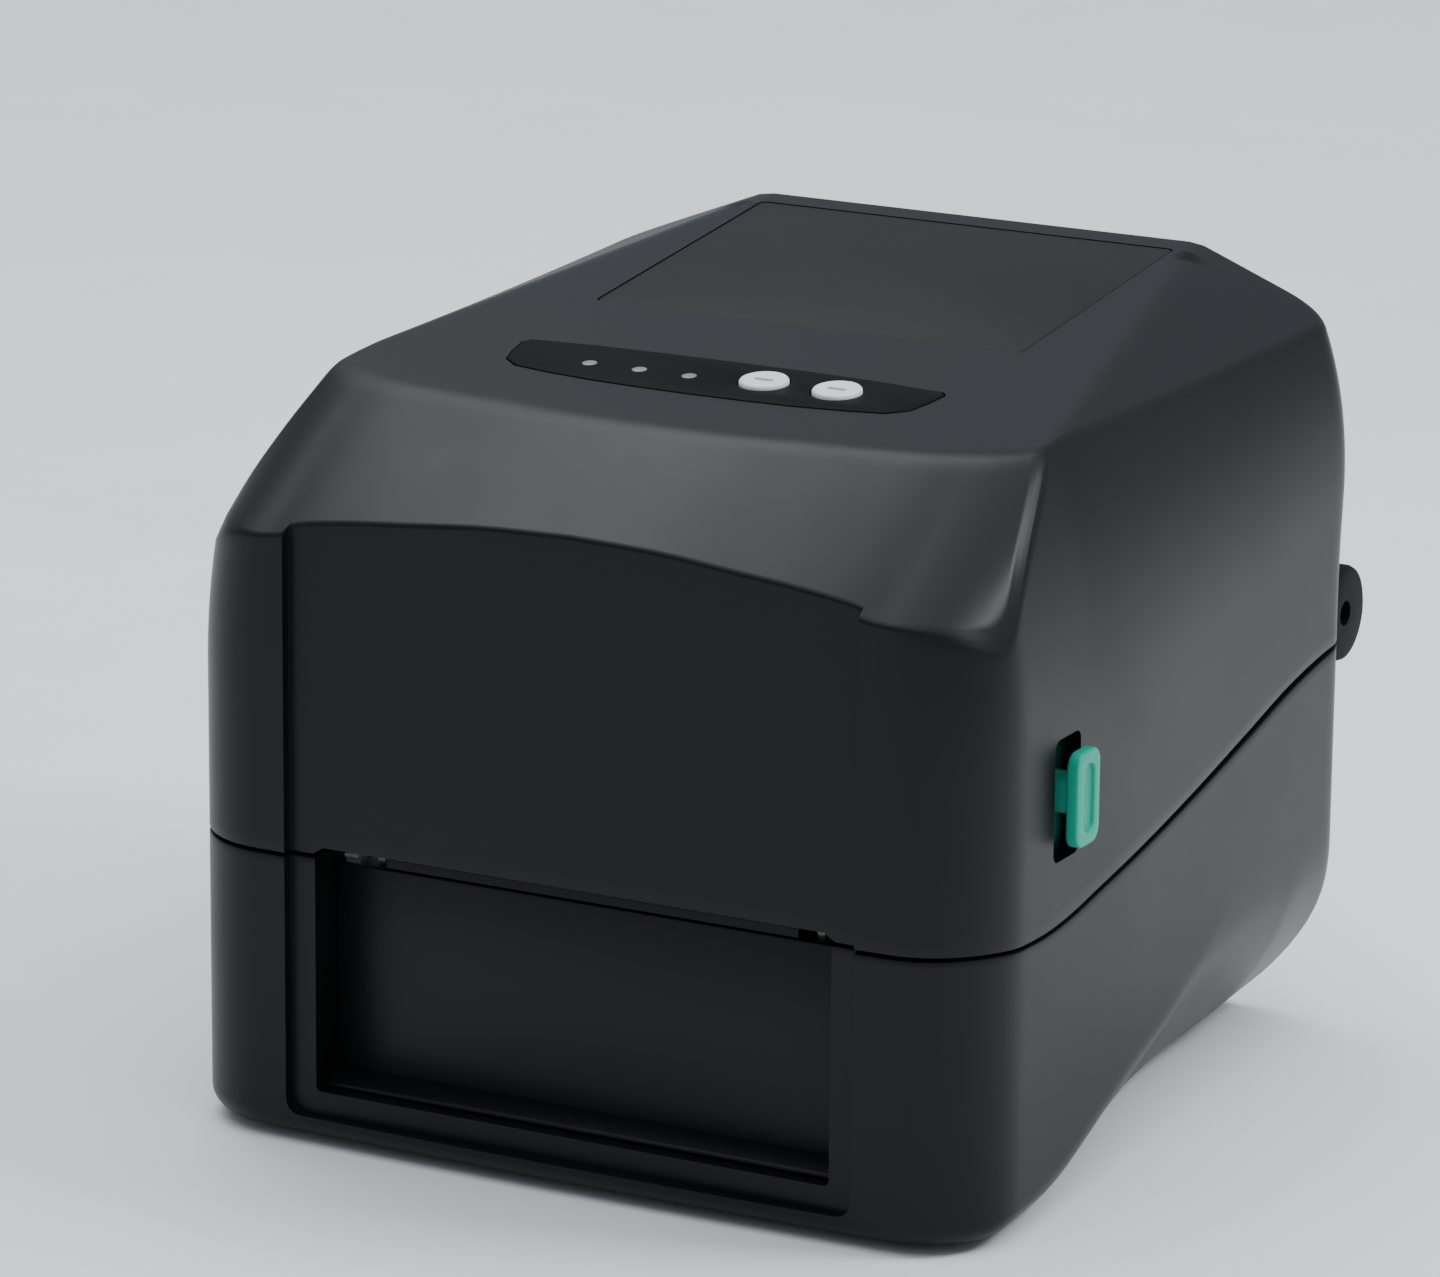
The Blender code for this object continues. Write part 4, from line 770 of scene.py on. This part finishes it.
def base_rings():
    """The rings of the base: over the inner floor, up the inside, round the lip and down."""
    s = bpy.context.scene.printer_sizes
    gap = s.seam_gap / 2.0
    flat = np.full(HALF_N, 0.075)
    ox, oy = half_outline(flat)
    top = seam_height(oy) - gap
    behind = (oy > 0.094) & (ox < 0.1096)
    top = np.where(behind, np.minimum(top, 0.0966), top)
    floor = BOTTOM_Z + s.wall

    def outer(z, inset=0.0, recessed=True, recess_half=None):
        x, y = half_outline(z, inset, recessed, recess_half)
        return smooth_min(x, undercut_limit(y, z) - inset, 0.0016), y

    def inner(z):
        x, y = half_outline(z, s.wall)
        x = np.minimum(x, undercut_limit(y, z, s.wall))
        y = np.maximum(y, RECESS_Y + s.wall)
        behind_slot = (x < 0.0755) & (z > 0.0112)
        return x, np.where(behind_slot, np.maximum(y, -0.1035), y)

    rings = []
    low = np.full(HALF_N, floor)
    x, y = inner(low)
    rings += list(reversed(spine_rings(x, y, lambda a, b: np.full(HALF_N, floor), (0.0, 0.2, 0.5, 1.0))))
    for t in (0.02, 0.04, 0.10, 0.12, 0.2, 0.3, 0.4, 0.5, 0.6, 0.7, 0.8, 0.9):
        z = floor + (top - 0.0005 - floor) * t
        rings.append(whole(*inner(z), z))
    z = top - 0.0004
    rings.append(whole(*inner(z), z))
    x, y = inner(z)
    nx, ny = inward()
    rings.append(whole(x - nx * 0.0004, y - ny * 0.0004, top))
    x, y = outer(top)
    nx, ny = inward()
    rings.append(whole(x + nx * 0.0005, y + ny * 0.0005, top))
    rings.append(whole(x + nx * 0.00015, y + ny * 0.00015, top - 0.00015))
    corner = 0.004
    for t in np.linspace(0.0, 1.0, 40):
        z = top - 0.0005 + (RECESS_Z + corner + 0.0002 - top + 0.0005) * t
        rings.append(whole(*outer(z), z))
    for a in (20.0, 40.0, 60.0, 80.0):
        a = math.radians(a)
        z = np.full(HALF_N, RECESS_Z + corner * (1.0 - math.sin(a)))
        half = s.recess_half - corner * (1.0 - math.cos(a))
        rings.append(whole(*outer(z, 0.0, True, half), z))
    z = np.full(HALF_N, RECESS_Z)
    rings.append(whole(*outer(z, 0.0, True, s.recess_half - corner), z))
    rings.append(whole(*outer(z, 0.0, False, s.recess_half - corner), z))
    r = s.foot_round
    for a in (0.0, 15.0, 30.0, 45.0, 60.0, 75.0, 90.0):
        a = math.radians(a)
        z = np.full(HALF_N, BOTTOM_Z + r * (1.0 - math.sin(a)))
        rings.append(whole(*outer(z, r * (1.0 - math.cos(a)), False, s.recess_half - corner), z))
    x, y = outer(z, r, False, s.recess_half - corner)
    rings += spine_rings(x, y, lambda a, b: np.full(HALF_N, BOTTOM_Z), (0.1, 0.3, 0.6, 1.0))
    return rings


def tilted(obj, y, lift=0.0):
    """Moves a piece modelled flat at the origin on to the roof at y."""
    lean = Matrix.Rotation(math.atan(ROOF_SLOPE), 4, "X")
    obj.data.transform(Matrix.Translation((0.0, y, roof(y) + lift)) @ lean)
    return obj


# ------------------------------------------------------------------ casing operators
PANEL_Y = -0.041
WINDOW_FRONT, WINDOW_REAR, WINDOW_HALF = 0.0055, 0.0990, 0.0610


def panel_outline(grow=0.0):
    h = 0.060 + grow
    half = [(0.0, 14.0), (20.0, 13.8), (40.0, 13.2)]
    points = [(x * MM, y * MM + grow) for x, y in half]
    points += [(h - 0.0018, 0.0115 + grow), (h, 0.0095), (h - 0.0012, 0.002), (h - 0.0030, -0.0045),
               (h - 0.0080, -0.0084 - grow), (0.042, -0.0102 - grow), (0.028, -0.0118 - grow),
               (0.014, -0.0124 - grow), (0.0, -0.0126 - grow)]
    points += [(-x, y) for x, y in reversed(points) if x > 1e-6]
    return [(x - 0.0018, y) for x, y in points]


class PRINTER_OT_cover(bpy.types.Operator):
    """Builds the hinged cover"""
    bl_idname = "printer.cover"
    bl_label = "Cover"

    def execute(self, context):
        shell = skin("cover_casing", cover_rings(), "casing")
        depth = WINDOW_REAR - WINDOW_FRONT
        w = WINDOW_HALF + 0.0003
        cutters = [
            tilted(prism("window_cut", rounded_rectangle(-w, -0.0003, w, depth + 0.0003, 0.002),
                         -0.012, 0.008, "Z"), WINDOW_FRONT),
            tilted(prism("panel_cut", panel_outline(0.0003), -0.0014, 0.008, "Z"), PANEL_Y),
        ]
        for side in (-1.0, 1.0):
            a, b = sorted((side * 0.100, side * 0.130))
            slot = rounded_rectangle(-0.0800, 0.0918, -0.0655, 0.1228, 0.0025)
            cutters.append(prism("tab_cut", slot, a, b))
        carve(shell, cutters)
        shell.data.set_sharp_from_angle(angle=math.radians(38.0))
        finish(shell, "cover", "casing", "cover_shell")
        ledge = prism("window_ledge", rounded_rectangle(-w - 0.003, -0.003, w + 0.003, depth + 0.003, 0.003),
                      -0.0050, -0.0032, "Z")
        inside = rounded_rectangle(-w + 0.0035, 0.003, w - 0.0035, depth - 0.003, 0.003)
        hole = prism("ledge_hole", inside, -0.009, 0.0, "Z")
        carve(ledge, [hole])
        finish(tilted(ledge, WINDOW_FRONT), "cover", "casing")
        return {"FINISHED"}


class PRINTER_OT_base(bpy.types.Operator):
    """Builds the lower casing"""
    bl_idname = "printer.base"
    bl_label = "Base"

    def execute(self, context):
        shell = skin("base_casing", base_rings(), "casing")
        cutters = [prism("front_cut", rounded_outline([(-0.0725, 0.0142), (0.0725, 0.0142), (0.0725, 0.090),
                                                       (-0.0725, 0.090)], [0.0015, 0.0015, 0.0, 0.0]),
                         -0.150, -0.098, "Y")]
        for name in ("dc_inlet", "serial_port", "lan_port", "usb_port", "switch_housing"):
            low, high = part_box(name)
            g = 0.0004
            mouth = rounded_rectangle(low.x - g, low.z - g, high.x + g, high.z + g, 0.0008)
            cutters.append(prism("port_cut", mouth, 0.090, 0.120, "Y"))
        carve(shell, cutters)
        shell.data.set_sharp_from_angle(angle=math.radians(38.0))
        finish(shell, "base", "casing", "base_shell")
        return {"FINISHED"}


class PRINTER_OT_front(bpy.types.Operator):
    """Builds the recessed front panel below the label slot"""
    bl_idname = "printer.front"
    bl_label = "Front panel"

    def execute(self, context):
        low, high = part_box("front_bezel")
        panel = block("front_panel", low, (high.x, high.y, high.z), "casing", 0.0006)
        ledge = prism("front_ledge", [(low.y + 0.0002, low.z), (low.y + 0.0002, low.z + 0.004),
                                      (low.y - 0.0065, low.z + 0.0012), (low.y - 0.0065, low.z)],
                      low.x + 0.0004, high.x - 0.0004)
        rounded(ledge, 0.0004)
        finish(joined("front_panel_plate", [panel, ledge]), "base", "casing", "front_bezel")
        return {"FINISHED"}


class PRINTER_OT_hinge(bpy.types.Operator):
    """Builds the hinge barrel and the lugs that carry it"""
    bl_idname = "printer.hinge"
    bl_label = "Rear hinge"

    def execute(self, context):
        y, z = HINGE[1], HINGE[2]
        spans = [(-0.109, -0.0825), (-0.0615, 0.0615), (0.0825, 0.109)]
        pieces = []
        for i, (a, b) in enumerate(spans):
            r, e = 0.0129, 0.0016
            profile = [(0.0034, a + 0.0003), (r - e, a), (r - 0.3 * e, a + 0.3 * e), (r, a + e), (r, b - e),
                       (r - 0.3 * e, b - 0.3 * e), (r - e, b), (0.0034, b - 0.0003), (0.0034, a + 0.0003)]
            pieces.append(turned(f"barrel_{i}", profile, (0.0, y, z), "X", "barrel", 56))
        finish(joined("hinge_barrel", pieces), "cover", "casing")
        pieces = []
        for side in (-1.0, 1.0):
            a, b = sorted((side * 0.0622, side * 0.0818))
            profile = [(0.0034, a + 0.0002), (0.0115, a), (0.0123, a + 0.0008), (0.0123, b - 0.0008),
                       (0.0115, b), (0.0034, b - 0.0002), (0.0034, a + 0.0002)]
            lug = turned("lug", profile, (0.0, y, z), "X", "barrel", 48)
            outline = [(0.1012, 0.070), (0.1025, 0.070), (y + 0.0085, z - 0.0085), (y + 0.003, z - 0.004),
                       (y - 0.004, z - 0.004), (y - 0.0085, z - 0.0085), (0.1012, 0.094)]
            web = prism("web", outline, a, b, "X", "barrel")
            pieces += [lug, rounded(web, 0.0006)]
        finish(joined("hinge_lugs", pieces), "base", "casing")
        return {"FINISHED"}


class PRINTER_OT_window(bpy.types.Operator):
    """Builds the smoked window"""
    bl_idname = "printer.window"
    bl_label = "Window"

    def execute(self, context):
        depth = WINDOW_REAR - WINDOW_FRONT
        w = WINDOW_HALF
        pane = prism("window_glazing", rounded_rectangle(-w, 0.0, w, depth, 0.0018), -0.0026, -0.0001, "Z",
                     "smoked")
        rounded(pane, 0.0003)
        finish(tilted(pane, WINDOW_FRONT), "cover", "smoked", "window_pane")
        return {"FINISHED"}


class PRINTER_OT_panel(bpy.types.Operator):
    """Builds the dark key panel with its lights and two keys"""
    bl_idname = "printer.panel"
    bl_label = "Key panel"

    def execute(self, context):
        plate = prism("key_panel_plate", panel_outline(-0.0001), -0.0013, 0.0002, "Z", "panel")
        holes = []
        for name in ("feed_key", "pause_key"):
            low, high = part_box(name)
            x = (low.x + high.x) / 2.0
            holes.append(turned("hole", [(0.0, -0.01), (0.0068, -0.01), (0.0068, 0.01), (0.0, 0.01)],
                                (x, -0.0388 - PANEL_Y, 0.0), "Z", "panel", 48))
        carve(plate, holes)
        rounded(plate, 0.0002)
        finish(tilted(plate, PANEL_Y), "cover", "panel", "control_panel")
        for name, body in (("feed_key", "feed"), ("pause_key", "pause")):
            low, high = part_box(name)
            x = (low.x + high.x) / 2.0
            profile = [(0.0, 0.00085), (0.0022, 0.00088), (0.0044, 0.00100), (0.0054, 0.00118),
                       (0.0060, 0.00105), (0.00635, 0.0006), (0.0064, 0.0), (0.0064, -0.0040),
                       (0.0080, -0.0042), (0.0080, -0.0060), (0.0, -0.0060)]
            centre = (x, -0.0388 - PANEL_Y, 0.0)
            cap = turned("cap", profile, centre, "Z", "white_key", 56)
            mark = prism("mark", rounded_outline([(x - 0.0026, -0.0007), (x + 0.0026, -0.0007),
                         (x + 0.0026, 0.0007), (x - 0.0026, 0.0007)], [0.0006] * 4), 0.0007, 0.00096, "Z",
                         "key_mark")
            mark.data.transform(Matrix.Translation((0.0, -0.0388 - PANEL_Y, 0.0)))
            finish(tilted(joined(name + "_cap", [cap, mark]), PANEL_Y), body, "white_key", name)
        for i in range(3):
            name = f"led_pipe_{i + 1}"
            low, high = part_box(name)
            x = (low.x + high.x) / 2.0
            y = -0.0413 - PANEL_Y
            lens = turned("lens", [(0.0, 0.00045), (0.0012, 0.0004), (0.0019, 0.00025), (0.0021, 0.0),
                                   (0.0021, -0.008), (0.0, -0.008)], (x, y, 0.0), "Z", "led", 32)
            finish(tilted(lens, PANEL_Y), "cover", "led", name)
        return {"FINISHED"}


class PRINTER_OT_latches(bpy.types.Operator):
    """Builds the latch levers with their finger tabs"""
    bl_idname = "printer.latches"
    bl_label = "Latches"

    def execute(self, context):
        for name, side in (("latch_lever_left", -1.0), ("latch_lever_right", 1.0)):
            a, b = sorted((side * 0.1035, side * 0.1065))
            outline = [(-69.0, 62.0), (-52.5, 62.0), (-54.5, 66.4), (-59.6, 66.9), (-59.6, 80.0),
                       (-56.5, 96.0), (-56.5, 132.0), (-56.0, 138.0), (-59.0, 144.0), (-65.0, 144.0),
                       (-68.0, 138.0), (-68.0, 132.0), (-67.0, 96.0), (-69.0, 80.0)]
            lever = prism("lever", [(p * MM, q * MM) for p, q in outline], a, b, "X", "teal")
            rounded(lever, 0.0005)
            a, b = sorted((side * 0.1040, side * 0.1158))
            web = block("web", (a, -0.0750, 0.1035), (b, -0.0660, 0.1120), "teal", 0.0010)
            a, b = sorted((side * 0.1148, side * 0.1180))
            face = rounded_rectangle(-0.0774, 0.0953, -0.0646, 0.1193, 0.0038, 8)
            tab = prism("tab", face, a, b, "X", "teal")
            dish_low, dish_high = sorted((side * 0.1169, side * 0.1200))
            hollow = rounded_rectangle(-0.0736, 0.0988, -0.0678, 0.1158, 0.0025, 8)
            dish = prism("dish", hollow, dish_low, dish_high)
            carve(tab, [dish])
            rounded(tab, 0.0007, 3)
            finish(joined(name + "_piece", [lever, web, tab]), "latch", "teal", name)
        return {"FINISHED"}


class PRINTER_OT_feet(bpy.types.Operator):
    """Builds the rubber feet and the underside screws"""
    bl_idname = "printer.feet"
    bl_label = "Feet and screws"

    def execute(self, context):
        for name in ("foot_front_left", "foot_front_right", "foot_rear_left", "foot_rear_right"):
            low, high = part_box(name)
            c = (low + high) / 2.0
            r = (high.x - low.x) / 2.0
            profile = [(0.0, 0.0002), (r - 0.0030, 0.0002), (r - 0.0024, 0.0), (r - 0.0008, 0.0),
                       (r - 0.0002, 0.0005), (r, 0.0012), (r, high.z), (0.0, high.z)]
            foot = turned(name + "_pad", profile, (c.x, c.y, 0.0), "Z", "rubber", 48)
            finish(foot, "base", "rubber", name)
        profile = [(0.0, 0.0004), (0.0012, 0.0004), (0.0013, -0.0004), (0.0026, -0.0005), (0.0032, 0.0),
                   (0.0033, 0.0012), (0.0, 0.0012)]
        screw = turned("underside_screws", profile, (0.0, 0.0, 0.0), "Z", "steel", 24)
        repeated(screw, "steel", 2, 3, 0.110, 0.130, (0.0, -0.005, 0.0012))
        finish(screw, "base", "steel")
        return {"FINISHED"}


class PRINTER_OT_carried(bpy.types.Operator):
    """Gives every carried-over inner part its finish"""
    bl_idname = "printer.carried"
    bl_label = "Inner parts"

    def execute(self, context):
        slots = {s["node"]: s["material_slot"] for s in frame["record"]["subparts"]}
        for name, obj in frame["nodes"].items():
            look = material(NODE_LOOK.get(name, SLOT_LOOK[slots[name]]))
            if not obj.material_slots:
                obj.data.materials.append(look)
            for spot in obj.material_slots:
                spot.material = look
        return {"FINISHED"}


# ------------------------------------------------------------------ stage
FLOOR_HALF = 4.0


def area_light(name, place, aim, width, height, power, colour=(1.0, 1.0, 1.0)):
    data = bpy.data.lights.new(name, "AREA")
    data.shape = "RECTANGLE"
    data.size, data.size_y = width, height
    data.energy = power
    data.color = colour
    made = bpy.data.objects.new(name, data)
    made.location = place
    made.rotation_euler = (Vector(aim) - Vector(place)).to_track_quat("-Z", "Y").to_euler()
    bpy.context.scene.collection.objects.link(made)
    return made


class PRINTER_OT_stage(bpy.types.Operator):
    """Sets the floor, the soft lights and the camera"""
    bl_idname = "printer.stage"
    bl_label = "Stage"

    def execute(self, context):
        h = FLOOR_HALF
        floor = prism("floor", [(-h, -h), (h, -h), (h, h), (-h, h)], -0.01, -0.0001, "Z", "floor")
        world = bpy.data.worlds.new("studio")
        bpy.context.scene.world = world
        world.use_nodes = True
        world.node_tree.nodes["Background"].inputs["Color"].default_value = (0.80, 0.89, 1.0, 1.0)
        world.node_tree.nodes["Background"].inputs["Strength"].default_value = 0.46
        area_light("overhead", (-0.66, 0.44, 1.35), (0.0, -0.05, 0.15), 0.75, 0.75, 5.6)
        area_light("edge", (0.89, 0.25, 0.86), (0.106, -0.08, 0.17), 0.35, 0.35, 7.0)
        sun = bpy.data.lights.new("skylight", "SUN")
        sun.energy = 1.95
        sun.angle = math.radians(80.0)
        bpy.context.scene.collection.objects.link(bpy.data.objects.new("skylight", sun))
        az, el, roll = math.radians(27.777), math.radians(15.367), math.radians(0.531)
        back = Vector((math.sin(az) * math.cos(el), -math.cos(az) * math.cos(el), math.sin(el)))
        right = (-back).cross(Vector((0.0, 0.0, 1.0))).normalized()
        up = right.cross(-back)
        across = right * math.cos(roll) + up * math.sin(roll)
        upward = -right * math.sin(roll) + up * math.cos(roll)
        place = Vector((-0.02713, 0.012, 0.1077)) + back * 1.8312
        data = bpy.data.cameras.new("camera")
        data.sensor_width = 36.0
        data.lens = 175.0
        data.clip_end = 20.0
        camera = bpy.data.objects.new("camera", data)
        camera.matrix_world = Matrix((
            (across.x, upward.x, back.x, place.x), (across.y, upward.y, back.y, place.y),
            (across.z, upward.z, back.z, place.z), (0.0, 0.0, 0.0, 1.0)))
        bpy.context.scene.collection.objects.link(camera)
        bpy.context.scene.camera = camera
        return {"FINISHED"}


class PRINTER_PT_sidebar(bpy.types.Panel):
    """Lists the printer's pieces"""
    bl_idname = "PRINTER_PT_sidebar"
    bl_label = "Label printer"
    bl_space_type = "VIEW_3D"
    bl_region_type = "UI"
    bl_category = "Printer"

    def draw(self, context):
        for operator in OPERATORS:
            self.layout.operator(operator.bl_idname)
        for group in (context.scene.printer_sizes, context.scene.printer_colours):
            for name in group.bl_rna.properties.keys():
                if name not in ("rna_type", "name"):
                    self.layout.prop(group, name)


OPERATORS = (PRINTER_OT_cover, PRINTER_OT_base, PRINTER_OT_front, PRINTER_OT_hinge, PRINTER_OT_window,
             PRINTER_OT_panel, PRINTER_OT_latches, PRINTER_OT_feet, PRINTER_OT_carried, PRINTER_OT_stage)
CLASSES = (PrinterSizes, PrinterColours) + OPERATORS + (PRINTER_PT_sidebar,)


def register():
    for cls in CLASSES:
        bpy.utils.register_class(cls)
    bpy.types.Scene.printer_sizes = bpy.props.PointerProperty(type=PrinterSizes)
    bpy.types.Scene.printer_colours = bpy.props.PointerProperty(type=PrinterColours)


def unregister():
    del bpy.types.Scene.printer_colours
    del bpy.types.Scene.printer_sizes
    for cls in reversed(CLASSES):
        bpy.utils.unregister_class(cls)


def main():
    register()
    for operator in OPERATORS:
        group, name = operator.bl_idname.split(".")
        getattr(getattr(bpy.ops, group), name)()


if __name__ == "__main__":
    main()
